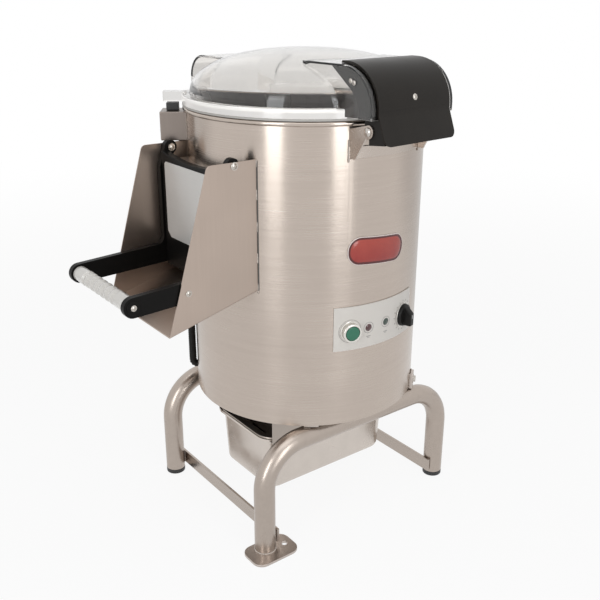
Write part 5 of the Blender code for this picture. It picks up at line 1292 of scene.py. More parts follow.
chute_seams = []
first, last = CHUTE_ROOT + CHUTE_SEAM_ENDS, CHUTE_TOP - CHUTE_SEAM_ENDS
for side in (-1.0, 1.0):
    for step in range(CHUTE_SEAMS):
        middle = first + (last - first) * step / (CHUTE_SEAMS - 1)
        ends = (middle - CHUTE_SEAM_HALF, middle + CHUTE_SEAM_HALF)
        heights = [min(CHUTE_TOP - CHUTE_SEAM_SHORT, end) for end in ends]
        line = [(-cheek_root - WELD_PROUD, side * (CHUTE_HALF_WIDTH - WELD_STAND), z) for z in heights]
        chute_seams.append((line, False))
chute_weld = weld("chute_welds", chute_seams, 0.0015, 0.0016, 31)
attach(chute_weld, "machine")

dark_seal = skinned("dark_joint_sealant", 0.62, (0.05, 0.045, 0.04), (0.13, 0.12, 0.11), 240.0, 0.0003, 0.7)
for side, side_name in ((-1.0, "front"), (1.0, "rear")):
    heights = (CHUTE_ROOT + JOINT_ENDS[0], CHUTE_TOP - JOINT_ENDS[1])
    line = [
        (-cheek_root + JOINT_PLACE[0], side * (CHUTE_HALF_WIDTH + JOINT_PLACE[1]), z) for z in heights]
    joint = tube("chute_joint_" + side_name, line, JOINT_RADIUS, dark_seal, 3)
    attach(joint, "machine")


def pan_head(tree, width, height):
    """A domed head on a thin flange, with a cross recess."""
    flange = cylinder(tree, 32, width * HEAD_FLANGE, height * 0.2)
    dome = place(
        tree, "GeometryNodeTransform", {}, {"Geometry": ball(tree, 32, width), "Scale": (1.0, 1.0, 0.5)})
    cross = place(tree, "GeometryNodeMeshBoolean", {"operation": "UNION", "solver": "EXACT"})
    for first, second in ((1.15, 0.24), (0.24, 1.15)):
        size = place(tree, "ShaderNodeCombineXYZ", {}, {0: width * first, 1: width * second, 2: height * 0.7})
        slot = shifted_up(tree, place(tree, "GeometryNodeMeshCube", {}, {"Size": size}), width * 0.5)
        tree.links.new(slot.socket, cross.socket.node.inputs[1])
    cut = {"operation": "DIFFERENCE", "solver": "EXACT"}
    head = place(tree, "GeometryNodeMeshBoolean", cut, {0: dome, 1: cross})
    return joined(tree, shifted_up(tree, flange, height * 0.1), head)


pan_heads = fastener_tree("pan_head_screws", 0.0045, 0.0026, pan_head)


def on_both_sides(spot, out, facing=1.0):
    """Where a fastener sits on each side of the chute, and which way it faces."""
    reach, height = spot
    return [((-reach, side * out, height), (0.0, side * facing, 0.0)) for side in (-1.0, 1.0)]


cheek_face = CHUTE_HALF_WIDTH + HEAD_GAP
head_root = cheek_face + HEAD_ROOT
nut_radius, nut_face, nut_depth = PIVOT_NUT
for side, side_name in ((-1.0, "front"), (1.0, "rear")):
    stages = [
        (0.0, head_root), (PIVOT_SHANK, head_root), (PIVOT_SHANK, nut_face), (nut_radius, nut_face),
        (nut_radius, nut_face - nut_depth), (0.0, nut_face - nut_depth)]
    pivot = lathe("pivot_shank_" + side_name, stages, 24, side_frame(side, *DOOR_PIVOT), look=bolt_steel)
    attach(pivot, "machine")
    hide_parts("pivot_screw_" + side_name)
    stages = [(0.0, head_root), (PLUNGER[0], head_root), PLUNGER, PLUNGER_TIP, (0.0, PLUNGER_TIP[1])]
    catch = lathe("catch_plunger_" + side_name, stages, 24, side_frame(side, *CATCH), look=bolt_steel)
    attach(catch, "machine")
    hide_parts("catch_screw_" + side_name)
for heads_name, spot, (reach, height) in (
        ("pivot_heads", DOOR_PIVOT, PIVOT_HEAD), ("catch_heads", CATCH, CATCH_HEAD)):
    spots = on_both_sides(spot, cheek_face)
    heads = fasteners(heads_name, pan_heads, spots, reach / HEAD_FLANGE, height)
    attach(heads, "machine")


# Door arms
# Two cranked black mouldings with round ends; each turns on a shoulder screw at the top of a
# cheek, and holds one end of the grip with a screw.

ARM_OUTSIDE = 0.0885
ARM_THICKNESS = 0.009
ARM_FRONT = 0.207
ARM_BACK = 0.1923
ARM_BOSS = 0.010
ARM_HEIGHT = 0.028
ARM_ELBOW = 0.012
ARM_EDGE = 0.0015
GRIP = (0.343, 0.420)
DOOR_TOP = 0.572
DOOR_LOW = 0.4085
DOOR_PLATE_TOP = 0.567
DISC_LINE = (
    (0.0, -0.0005), (0.0098, -0.0005), (0.0098, 0.0006), (0.0092, 0.0011), (0.0080, 0.0012),
    (0.0070, 0.0008), (0.0, 0.0008))
SMALL_SCREW = (0.0034, 0.0022)
GRIP_SCREW_STAND = 0.0006
BOSS_NUT = (0.0036, 0.0018)
BOSS_NUT_BACK = 0.0033

arm_inside = ARM_OUTSIDE - ARM_THICKNESS
arm_black = moulded(
    "door_frame_black", (0.0035, 0.0032, 0.003), (0.009, 0.0082, 0.0075), 0.34, 900.0, 0.00004,
    Specular_IOR_Level=0.10)
heel = DOOR_LOW + ARM_HEIGHT / 8.0
elbow = (-ARM_FRONT - ARM_ELBOW, heel + ARM_HEIGHT + ARM_ELBOW)
arm_line = arc((-DOOR_PIVOT[0], DOOR_PIVOT[1]), ARM_BOSS, -60.0, 180.0, 24)
arm_line.append((-ARM_FRONT, DOOR_PLATE_TOP - ARM_BOSS))
arm_line += arc(elbow, ARM_ELBOW, 0.0, -90.0, 8)
arm_line += arc((-GRIP[0], GRIP[1]), ARM_HEIGHT / 2.0, 90.0, 270.0, 24)
arm_line += [(-ARM_BACK, heel), (-ARM_BACK, DOOR_TOP - ARM_BOSS)]
pivot_hole = ring_line((-DOOR_PIVOT[0], DOOR_PIVOT[1]), PIVOT_BORE)
for side, side_name in ((-1.0, "front"), (1.0, "rear")):
    stood = Matrix.Translation((0.0, side * (arm_inside + ARM_THICKNESS / 2.0), 0.0)) @ ALONG_Y
    arm = plate(
        "door_arm_moulding_" + side_name, [arm_line, pivot_hole], ARM_THICKNESS, stood, ARM_EDGE, 3, arm_black)
    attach(arm, "door")
    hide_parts("door_arm_" + side_name)
for side, side_name in ((-1.0, "front"), (1.0, "rear")):
    outside = side_frame(side, *GRIP) @ Matrix.Translation((0.0, 0.0, ARM_OUTSIDE))
    disc = lathe("arm_end_disc_" + side_name, DISC_LINE, 48, outside, look=arm_black)
    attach(disc, "door")
grip_spots = on_both_sides(GRIP, ARM_OUTSIDE + GRIP_SCREW_STAND)
grip_screws = fasteners("grip_screws", pan_heads, grip_spots, *SMALL_SCREW)
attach(grip_screws, "door")
boss_spots = on_both_sides(DOOR_PIVOT, arm_inside - BOSS_NUT_BACK, -1.0)
boss_nuts = fasteners("pivot_nut_faces", pan_heads, boss_spots, *BOSS_NUT)
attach(boss_nuts, "machine")


# Door panel and its plate
# A black moulding that closes the doorway between the arms, faced with a folded grey sheet that
# is fixed on its outer side.

DOOR_FRONT = 0.2043
DOOR_EDGE = 0.0014
DOOR_SAG = 0.008
DOOR_GAP = 0.0003
FACE_BACK = 0.2046
FACE_THICKNESS = 0.002
FACE_HALF_WIDTH = 0.067
FACE_TOP = 0.567
FACE_LOW = 0.455
FACE_CHAMFER = 0.009
FACE_EDGE = 0.0006
ALONG_X = Matrix(((0, 0, 1, 0), (1, 0, 0, 0), (0, 1, 0, 0), (0, 0, 0, 1)))


def face_finish():
    """Thinly coated grey sheet, cloudy, with a faint upright grain."""
    made, tree, shader = finish("grey_face_sheet", 0.34, 0.35, Coat_Weight=0.1, Coat_Roughness=0.25)
    at = where(tree)
    cloud = speckle(tree, at, 16.0, 3.0, 0.6)
    grain = streaks(tree, at, (20.0, 20.0, 700.0), 3.0, 0.7)
    give(shader, "Base Color", mixed(
        tree, cloud * 0.7 + grain * 0.3, (0.575, 0.56, 0.535), (0.74, 0.72, 0.695)))
    give(shader, "Roughness", 0.32 + (cloud - 0.5) * 0.14)
    raised(tree, shader, grain, 0.00002, 0.4)
    return made


half = arm_inside - DOOR_GAP
door_line = [(-half, DOOR_LOW), (half, DOOR_LOW)]
door_line += [
    (half * share, DOOR_TOP + DOOR_SAG * share * share) for share in [1.0 - step / 12.0 for step in range(25)]]
stood = Matrix.Translation(((-DOOR_FRONT - ARM_BACK) / 2.0, 0.0, 0.0)) @ ALONG_X
door_moulding = plate("door_moulding", [door_line], DOOR_FRONT - ARM_BACK, stood, DOOR_EDGE, 3, arm_black)
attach(door_moulding, "door")
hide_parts("door_panel")

half, cutoff, small = FACE_HALF_WIDTH, FACE_CHAMFER, FACE_CHAMFER / 3.0
outline = [
    (-half + cutoff, FACE_LOW), (half - cutoff, FACE_LOW), (half, FACE_LOW + cutoff), (half, FACE_TOP - small),
    (half - small, FACE_TOP), (-half + small, FACE_TOP), (-half, FACE_TOP - small), (-half, FACE_LOW + cutoff)]
stood = Matrix.Translation((-FACE_BACK - FACE_THICKNESS / 2.0, 0.0, 0.0)) @ ALONG_X
door_face = plate("door_face_sheet", [outline], FACE_THICKNESS, stood, FACE_EDGE, 3, face_finish())
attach(door_face, "door")
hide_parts("door_plate")


# Door grip
# A grey moulded bar between the arms, with six rings for the hand, held by a screw through
# each arm.

GRIP_RADIUS = 0.0112
GRIP_RINGS = 6
GRIP_RING_DEPTH = 0.0026
GRIP_RINGED_SHARE = 0.60
GRIP_PLAIN = 0.003
GRIP_END = ((0.0006, 0.0), (0.0, 0.0008))

grip_grey = moulded(
    "grip_grey", (0.60, 0.57, 0.53), (0.75, 0.72, 0.68), 0.26, 600.0, 0.00004,
    Coat_Weight=1.0, Coat_Roughness=0.08)
grip_half = arm_inside - DOOR_GAP
ringed = grip_half * GRIP_RINGED_SHARE
steps = GRIP_RINGS * 12
end_line = [(0.0, grip_half)] + [(GRIP_RADIUS - short, grip_half - drop) for short, drop in GRIP_END]
end_line.append((GRIP_RADIUS, ringed + GRIP_PLAIN))
profile = list(end_line)
for index in range(steps + 1):
    swell = math.sin(math.pi * GRIP_RINGS * index / steps) ** 2.0
    reach = GRIP_RADIUS - GRIP_RING_DEPTH + GRIP_RING_DEPTH * swell ** 0.7
    profile.append((reach, ringed - 2.0 * ringed * index / steps))
profile += [(reach, -along) for reach, along in end_line[::-1]]
grip = lathe("grip_bar", profile, 48, side_frame(1.0, *GRIP), look=grip_grey)
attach(grip, "door")
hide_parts("door_grip")


# Hinge bracket
# A stainless strap welded along the drum under the rim, with an ear folded out at each end;
# the hinge pin runs through both ears.

HINGE_AZIMUTH = 3.5
HINGE_REACH = 0.1985
HINGE_HEIGHT = 0.630
EAR_INSIDE = 0.0655
EAR_THICKNESS = 0.0025
EAR_RADIUS = 0.0092
EAR_EDGE = 0.0004
EAR_SINK = 0.0005
EAR_WELD = (-0.004, 0.024)
EAR_WELD_STAND = (0.0003, 0.0012)
STRAP_TOP = 0.607
STRAP_LOW = 0.591
STRAP_THICKNESS = 0.002
STRAP_EDGE = 0.0005
STRAP_STEPS = 60
PIN_RADIUS = 0.004
PIN_PLAY = 0.0002
PIN_HEAD = ((0.0030, 0.0028), (0.0050, 0.0020), (0.0061, 0.0008), (0.0062, 0.0))
PIN_HEAD_TOP = 0.0029

strap_steel = sheet_finish("ground_strap_steel", (0.527, 0.464, 0.416), 0.27, (9.0, 600.0, 600.0))
lid_turn = turn_z(HINGE_AZIMUTH)
ear_outside = EAR_INSIDE + EAR_THICKNESS
strap_end = math.degrees(math.asin(ear_outside / DRUM_RADIUS))
near = DRUM_RADIUS + DRUM_CLEARANCE
far = near + STRAP_THICKNESS
shape = bmesh.new()
rows = ((far, STRAP_TOP), (far, STRAP_LOW), (near, STRAP_LOW), (near, STRAP_TOP))
girth_strip(shape, HINGE_AZIMUTH - strap_end, HINGE_AZIMUTH + strap_end, STRAP_STEPS, rows)
strap = settle(rounded(settle(from_shape("hinge_strap", shape)), STRAP_EDGE), look=strap_steel)
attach(strap, "machine")
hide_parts("hinge_bracket")

root = flush(ear_outside) - EAR_SINK
ear_line = [(-root, STRAP_LOW), (-root, HINGE_HEIGHT)]
ear_line += arc((-HINGE_REACH, HINGE_HEIGHT), EAR_RADIUS, 100.0, 290.0, 24)
ear_line += [(-DRUM_RADIUS - STRAP_THICKNESS, STRAP_TOP - 0.010), (-DRUM_RADIUS + 0.001, STRAP_LOW)]
pin_hole = ring_line((-HINGE_REACH, HINGE_HEIGHT), PIN_RADIUS + PIN_PLAY)
ear_seams = []
for side, side_name in ((-1.0, "left"), (1.0, "right")):
    stood = lid_turn @ Matrix.Translation((side * (EAR_INSIDE + EAR_THICKNESS / 2.0), 0.0, 0.0)) @ ALONG_X
    ear = plate(
        "hinge_ear_" + side_name, [ear_line, pin_hole], EAR_THICKNESS, stood, EAR_EDGE, look=strap_steel)
    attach(ear, "machine")
    across, back = side * (ear_outside + EAR_WELD_STAND[0]), -root - EAR_WELD_STAND[1]
    seam = [(across, back, STRAP_LOW + end) for end in EAR_WELD]
    ear_seams.append((turned_points(lid_turn, seam), False))
ear_welds = weld("ear_welds", ear_seams, 0.0014, 0.0017, 17)
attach(ear_welds, "machine")

pin_face = ear_outside + PIN_PLAY
head_line = [(0.0, pin_face + PIN_HEAD_TOP)] + [(reach, pin_face + up) for reach, up in PIN_HEAD]
head_line.append((PIN_RADIUS, pin_face))
profile = head_line + [(reach, -along) for reach, along in head_line[::-1]]
pin_place = Matrix.Translation((0.0, -HINGE_REACH, HINGE_HEIGHT)) @ Matrix.Rotation(math.radians(90.0), 4, "Y")
pin = lathe("hinge_rod", profile, 32, lid_turn @ pin_place, look=turned_steel)
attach(pin, "machine")
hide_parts("hinge_pin")


# Clear lid
# One clear moulding: a dome with a stepped rim, a raised hood over the hinge, a lug opposite
# it for the hand, and a small tab that works the lid switch. A grey gasket sits under its rim.

LID_WALL = 0.003
LID_EDGE = 0.0007
BAND_RADIUS = 0.1835
BAND_LOW = 0.6445
BAND_TOP = 0.657
DOME_RADIUS = 0.172
DOME_FULLNESS = 2.25
DOME_STEPS = 28
LID_APEX = 0.721
HOOD_HALF_WIDTH = 0.078
HOOD_REACH = 0.214
HOOD_TOP = 0.712
HOOD_ROUND = 0.056
LUG_LID_HALF_WIDTH = 0.068
LUG_REACH = 0.204
LUG_TOP = 0.703
LUG_ROUND = 0.034
RAISED_LIFT = 0.002
RAISED_ROOT = BAND_RADIUS * 0.45
EDGE_BAND = 0.0005
HOOD_EDGE_REACH = 0.0012
WALL_FOOT = (0.0045, 0.0165)
FOOT_EDGE = 0.0009
TAB_HALF_WIDTH = 0.010
TAB_REACH = 0.211
TAB_LOW = 0.6455
TAB_HEIGHT = 0.014
GASKET_INSIDE = 0.1793
GASKET_LOW = 0.6413
GASKET_TOP = 0.6442
GASKET_EDGE = 0.0004
PLASTIC_IOR = 1.49


def clear_finish():
    """Clear plastic with a faint flow in it and a fine haze on it."""
    made, tree, shader = finish("clear_lid_plastic", 0.045, 0.0, IOR=PLASTIC_IOR, Transmission_Weight=1.0)
    at = where(tree)
    flow = speckle(tree, at, 9.0)
    give(shader, "Base Color", mixed(tree, flow, (0.91, 0.892, 0.868), (0.945, 0.932, 0.915)))
    give(shader, "Roughness", 0.02 + speckle(tree, at, 260.0, 3.0, 0.7) * 0.05)
    raised(tree, shader, flow, 0.0008, 0.15)
    return made


def painted_glow_rim_finish():
    """The thick rim, milky, with a faint emission that is a painted glow: it makes the rim look bright though
    it is no lamp.
    """
    made, tree, shader = finish(
        "clear_lid_rim_painted_glow", 0.10, 0.0, IOR=PLASTIC_IOR, Transmission_Weight=0.4, Emission_Strength=0.18)
    cloud = speckle(tree, where(tree), 30.0, 3.0)
    give(shader, "Base Color", mixed(tree, cloud, (0.95, 0.915, 0.88), (1.0, 0.97, 0.94)))
    give(shader, "Roughness", 0.08 + cloud * 0.08)
    # Painted glow: this emission colour makes the rim shine from within.
    give(shader, "Emission Color", mixed(tree, cloud, (0.90, 0.87, 0.84), (1.0, 0.98, 0.95)))
    raised(tree, shader, cloud, 0.0005, 0.2)
    return made


def painted_shade_edge_finish():
    """Narrow edges, coloured dark grey as painted shade for how a clear wall looks where it is seen end on."""
    made, tree, shader = finish("clear_lid_edges_painted_shade", 0.14, 0.0, IOR=PLASTIC_IOR, Transmission_Weight=0.5)
    cloud = speckle(tree, where(tree), 60.0)
    # Painted shade: these dark grey colours stand in for the dark look of the clear wall seen end on.
    give(shader, "Base Color", mixed(tree, cloud, (0.20, 0.185, 0.17), (0.34, 0.32, 0.30)))
    give(shader, "Roughness", 0.10 + cloud * 0.08)
    return made


def dome_line(inset, low):
    """Side line of the dome, its step and its rim band, drawn in by an inset."""
    radius, base, height = DOME_RADIUS - inset, BAND_TOP - inset, LID_APEX - BAND_TOP
    power = 2.0 / DOME_FULLNESS
    line = [(0.0, base + height)]
    for index in range(1, DOME_STEPS + 1):
        turn = math.pi / 2.0 * (1.0 - index / DOME_STEPS)
        if index == DOME_STEPS:
            line.append((radius, base + FOOT_EDGE))
        line.append((radius * math.cos(turn) ** power, base + height * max(0.0, math.sin(turn)) ** power))
    band = BAND_RADIUS - inset
    edge = (band - radius) / 4.0
    line += arc((band - edge, base - edge), edge, 90.0, 0.0, 5)
    return line + [(band, low), (0.0, low)]


def room_line(low):
    """Side line of the room under the dome, whose wall thickens towards its foot."""
    thick, rise = WALL_FOOT
    line = []
    for index, (reach, up) in enumerate(dome_line(LID_WALL, low)):
        share = 1.0 - (up - BAND_TOP + LID_WALL) / rise
        line.append((reach - (thick * share if index <= DOME_STEPS + 1 and 0.0 < share <= 1.0 else 0.0), up))
    return line


def raised_line(direction, reach, top, corner, low, inset):
    reach, top, corner = reach - inset, top - inset, corner - inset
    line = [(direction * RAISED_ROOT, low), (direction * RAISED_ROOT, top)]
    line += [(direction * out, up) for out, up in arc((reach - corner, top - corner), corner, 90.0, 0.0, 24)]
    return line + [(direction * reach, low)]


hood_low, room_low = BAND_LOW + RAISED_LIFT, BAND_LOW - BEYOND
forms, rooms = [], [lathe("dome_room", room_line(room_low), 192)]
for form_name, half_width, size in (
        ("hood", HOOD_HALF_WIDTH, (-1.0, HOOD_REACH, HOOD_TOP, HOOD_ROUND)),
        ("lug", LUG_LID_HALF_WIDTH, (1.0, LUG_REACH, LUG_TOP, LUG_ROUND))):
    line, room = raised_line(*size, hood_low, 0.0), raised_line(*size, room_low, LID_WALL)
    forms.append(plate(form_name + "_form", [line], half_width * 2.0, ALONG_X))
    rooms.append(plate(form_name + "_room", [room], (half_width - LID_WALL) * 2.0, ALONG_X))
forms.append(block(
    "tab_form", (-TAB_HALF_WIDTH, -TAB_REACH, TAB_LOW),
    (TAB_HALF_WIDTH, -BAND_RADIUS + LID_WALL * 2.0, TAB_LOW + TAB_HEIGHT),
    turn_z(SWITCH_AZIMUTH - HINGE_AZIMUTH), 0.0))
lid = combined("UNION", lathe("lid_moulding", dome_line(0.0, BAND_LOW), 192), *forms)
lid = combined("DIFFERENCE", lid, *rooms)
lid = settle(rounded(lid, LID_EDGE, 3, 50.0), lid_turn, 38.0, clear_finish())
lid.data.materials.append(painted_glow_rim_finish())
lid.data.materials.append(painted_shade_edge_finish())
for face in lid.data.polygons:
    reach = math.hypot(face.center.x, face.center.y)
    stood = lid_turn.inverted() @ face.center
    beside_cheek = abs(abs(stood.x) - HOOD_HALF_WIDTH) < HOOD_EDGE_REACH
    hood_edge_painted_highlight = stood.y < 0.0 and beside_cheek and stood.z > BAND_TOP
    corners = lid.data.vertices
    longest = max((corners[first].co - corners[second].co).length for first, second in face.edge_keys)
    # Narrow faces get the dark edge finish, painted shade; the hood cheeks' edges get the glowing rim finish
    # instead, a painted highlight, and the rim band's faces get it as a painted glow.
    if face.area / longest < EDGE_BAND and face.center.z < HOOD_TOP + RAISED_LIFT:
        face.material_index = 1 if hood_edge_painted_highlight else 2
    elif BAND_RADIUS - LID_WALL / 2.0 < reach < BAND_RADIUS + RAISED_LIFT and face.center.z < BAND_TOP:
        face.material_index = 1
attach(lid, "lid")
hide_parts("lid_shell")

gasket_grey = moulded("gasket_grey", (0.40, 0.38, 0.355), (0.52, 0.50, 0.47), 0.45)
profile = [
    (BAND_RADIUS - GASKET_EDGE, GASKET_TOP), (BAND_RADIUS, GASKET_TOP - GASKET_EDGE),
    (BAND_RADIUS, GASKET_LOW + GASKET_EDGE), (BAND_RADIUS - GASKET_EDGE, GASKET_LOW),
    (GASKET_INSIDE + GASKET_EDGE, GASKET_LOW), (GASKET_INSIDE, GASKET_LOW + GASKET_EDGE),
    (GASKET_INSIDE, GASKET_TOP - GASKET_EDGE), (GASKET_INSIDE + GASKET_EDGE, GASKET_TOP)]
gasket = lathe("lid_seal_ring", profile, 128, lid_turn, look=gasket_grey)
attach(gasket, "lid")
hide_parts("lid_gasket")


# Hinge block and cover
# A black block fills the hood and carries the hinge barrel and a skirt under it; a bent black
# cover sheet is screwed over the hood from outside.

BLOCK_TOP_REACH = 0.138
BLOCK_SHOULDER = (0.176, 0.680)
BLOCK_INNER_REACH = 0.1885
BLOCK_KNEE = 0.662
BARREL_RADIUS = 0.0088
BARREL_PLAY = 0.0006
UNDERSKIRT_GAP = 0.001
UNDERSKIRT_INSET = 0.002
COVER_THICKNESS = 0.003
COVER_HALF_WIDTH = 0.068
COVER_TOP_REACH = 0.147
COVER_BEND = 0.652
COVER_BEND_SHARE = 0.12
COVER_BEND_EASE = 0.015
COVER_LIP = (0.229, 0.6145)
COVER_CORNER = 0.010
COVER_EDGE = 0.0008
COVER_SCREW_TURN = math.radians(14.5)
CHEEK_SCREWS = ((0.1815, 0.6905), (0.1755, 0.6925))
CHEEK_SCREW = (0.0026, 0.0018)
CHEEK_SCREW_SINK = 0.0002
FIT = 0.0003

block_black = moulded(
    "hinge_block_black", (0.010, 0.009, 0.009), (0.024, 0.022, 0.020), 0.42, 260.0, 0.00012,
    Specular_IOR_Level=0.2)
cover_black = moulded(
    "hood_cover_black", (0.010, 0.0085, 0.007), (0.024, 0.020, 0.0165), 0.36, 420.0, 0.00006,
    Specular_IOR_Level=0.17)


def hood_arc(offset, steps):
    """The hood's rounded shoulder, moved out from its own by an offset."""
    corner = HOOD_ROUND + offset
    middle = (HOOD_REACH + offset - corner, HOOD_TOP + offset - corner)
    return [(-out, up) for out, up in arc(middle, corner, 90.0, 0.0, steps)]


inset = LID_WALL + FIT
block_line = [(-BLOCK_TOP_REACH, HOOD_TOP - inset)] + hood_arc(-inset, 24)
block_line += [
    (-HOOD_REACH + inset, hood_low), (-BLOCK_INNER_REACH, hood_low), (-BLOCK_INNER_REACH, BLOCK_KNEE),
    (-BLOCK_SHOULDER[0], BLOCK_SHOULDER[1])]
hood_block = plate("hood_block", [block_line], (HOOD_HALF_WIDTH - inset) * 2.0, ALONG_X)
barrel_half = EAR_INSIDE - BARREL_PLAY
neck = block(
    "barrel_neck", (-barrel_half, -HINGE_REACH - BARREL_RADIUS, HINGE_HEIGHT),
    (barrel_half, -HINGE_REACH + BARREL_RADIUS, hood_low + BEYOND), edge=0.0)
lip_out, lip_low = COVER_LIP
lean = (lip_out - HOOD_REACH) / (COVER_BEND - lip_low)
skirt_top, skirt_out = hood_low - UNDERSKIRT_GAP, lip_out - UNDERSKIRT_INSET
skirt_line = [
    (-HINGE_REACH, lip_low - UNDERSKIRT_INSET), (-HINGE_REACH, skirt_top),
    (-skirt_out + lean * (skirt_top - lip_low), skirt_top),
    (-skirt_out + lean * UNDERSKIRT_GAP, lip_low + UNDERSKIRT_GAP)]
skirt = plate("barrel_skirt", [skirt_line], barrel_half * 2.0, ALONG_X)
barrel = bore("barrel", BARREL_RADIUS, -barrel_half, barrel_half, pin_place)
pin_bore = bore("pin_bore", PIN_RADIUS + FIT, -barrel_half - BEYOND, barrel_half + BEYOND, pin_place)
hood_block = combined("DIFFERENCE", combined("UNION", hood_block, neck, skirt, barrel), pin_bore)
hood_block = settle(rounded(hood_block, LID_EDGE, 2, 50.0), lid_turn, look=block_black)
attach(hood_block, "lid")
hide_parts("hinge_block")


def cover_line(offset):
    line = [(-COVER_TOP_REACH, HOOD_TOP + offset)] + hood_arc(offset, 32)
    lip = (-lip_out - offset + FIT, lip_low)
    bend = (-HOOD_REACH - offset, COVER_BEND)
    for step in range(5):
        share = COVER_BEND_SHARE * (step - 2) / 2.0
        ease = 0.5 * share * share / COVER_BEND_SHARE + 0.5 * share + COVER_BEND_EASE
        line.append((bend[0] + (lip[0] - bend[0]) * max(0.0, ease), bend[1] + (lip[1] - bend[1]) * share))
    return line + [lip]


outline = cover_line(FIT + COVER_THICKNESS) + cover_line(FIT)[::-1]
cover = plate("cover_form", [outline], COVER_HALF_WIDTH * 2.0, ALONG_X)
window_middle = (lip_low + HOOD_TOP + BEYOND * 2.0) / 2.0
window = plate(
    "cover_window", [pill(COVER_HALF_WIDTH, window_middle - lip_low, COVER_CORNER, 10)], DRUM_RADIUS,
    Matrix.Translation((0.0, -DRUM_RADIUS, window_middle)) @ ALONG_Y)
cover = settle(rounded(combined("INTERSECT", cover, window), COVER_EDGE, 3, 50.0), lid_turn, look=cover_black)
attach(cover, "lid")
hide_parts("hinge_cover")

out = Vector((0.0, -math.cos(COVER_SCREW_TURN), math.sin(COVER_SCREW_TURN)))
shoulder = Vector((0.0, HOOD_ROUND - HOOD_REACH, HOOD_TOP - HOOD_ROUND))
spots = [turned_points(lid_turn, (shoulder + out * (HOOD_ROUND + COVER_THICKNESS), out))]
cover_screw = fasteners("cover_screw", pan_heads, spots, *SMALL_SCREW)
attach(cover_screw, "lid")
hood_cheek = HOOD_HALF_WIDTH - CHEEK_SCREW_SINK
spots = [
    turned_points(lid_turn, ((side * hood_cheek, -back, up), (side, 0.0, 0.0)))
    for side in (-1.0, 1.0) for back, up in CHEEK_SCREWS]
cheek_screws = fasteners("hood_cheek_screws", pan_heads, spots, *CHEEK_SCREW)
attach(cheek_screws, "lid")


# Lid switch and its cable run
# A folded stainless housing welded to the drum holds a black sensor under the lid's tab; a
# ribbed conduit takes the wiring down and into the lower compartment.

SWITCH_DEPTH = 0.038
SWITCH_HALF_WIDTH = 0.022
SWITCH_LOW = 0.590
SWITCH_TOP = 0.632
SWITCH_EDGE = 0.0016
SWITCH_SEAM_SHORT = 0.004
SENSOR_HALF_WIDTH = 0.008
SENSOR_BACK = 0.207
SENSOR_DEPTH = 0.018
SENSOR_HEIGHT = 0.011
SENSOR_EDGE = 0.0010
CONDUIT_RADIUS = 0.0062
CONDUIT_BEND = 0.0075
CONDUIT_REACH = 0.186
CONDUIT_RIBS = {"Radius": CONDUIT_RADIUS, "Rib pitch": 0.0034, "Rib depth": 0.0009}
CONDUIT_STEPS = 6.0

switch_steel = sheet_finish("ground_switch_housing", (0.235, 0.2, 0.178), 0.34, (500.0, 500.0, 10.0))
switch_turn = turn_z(SWITCH_AZIMUTH)
housing = block(
    "switch_housing_form", (-SWITCH_HALF_WIDTH, -DRUM_RADIUS - SWITCH_DEPTH, SWITCH_LOW),
    (SWITCH_HALF_WIDTH, -DRUM_RADIUS / 2.0, SWITCH_TOP), switch_turn, SWITCH_EDGE, 4)
housing = combined("DIFFERENCE", housing, drum_body("drum_inside_switch"), look=switch_steel)
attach(housing, "machine")
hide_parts("switch_box")
sensor_low = SWITCH_TOP + FIT
sensor = block(
    "sensor_head", (-SENSOR_HALF_WIDTH, -SENSOR_BACK, sensor_low),
    (SENSOR_HALF_WIDTH, SENSOR_DEPTH - SENSOR_BACK, sensor_low + SENSOR_HEIGHT),
    switch_turn, SENSOR_EDGE, 3, switch_black)
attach(sensor, "machine")
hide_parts("switch_sensor")
housing_seams = []
for side in (-1.0, 1.0):
    across, out = side * (SWITCH_HALF_WIDTH + WELD_STAND), -flush(SWITCH_HALF_WIDTH) - WELD_PROUD
    seam = [(across, out, z) for z in (SWITCH_LOW + SWITCH_SEAM_SHORT, SWITCH_TOP - SWITCH_SEAM_SHORT)]
    housing_seams.append((turned_points(switch_turn, seam), False))
housing_weld = weld("switch_housing_weld", housing_seams, 0.0010, 0.0014, 41)
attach(housing_weld, "machine")


def rib_tree():
    """A tube swept along a path, its radius rising and falling evenly to make ribs."""
    tree, keys, given = sized_tree("conduit_ribs", "Path", "Conduit", CONDUIT_RIBS)
    pitch = given.also("Rib pitch")
    spacing = {"Curve": given, "Length": pitch / CONDUIT_STEPS}
    fine = place(tree, "GeometryNodeResampleCurve", {"mode": "LENGTH"}, spacing)
    along = place(tree, "GeometryNodeSplineParameter", output=1)
    wave = (along / pitch * (2.0 * math.pi)).reckon("SINE") * 0.5 + 0.5
    width = given.also("Radius") - given.also("Rib depth") * wave
    swelled = place(tree, "GeometryNodeSetCurveRadius", {}, {"Curve": fine, "Radius": width})
    circle = place(
        tree, "GeometryNodeCurvePrimitiveCircle", {"mode": "RADIUS"}, {"Resolution": 20, "Radius": 1.0})
    swept = place(
        tree, "GeometryNodeCurveToMesh", {}, {"Curve": swelled, "Profile Curve": circle, "Fill Caps": True})
    if "Scale" in swept.socket.node.inputs:
        radius = place(tree, "GeometryNodeInputRadius")
        tree.links.new(radius.socket, swept.socket.node.inputs["Scale"])
    ended(tree, given, swept)
    return tree, keys


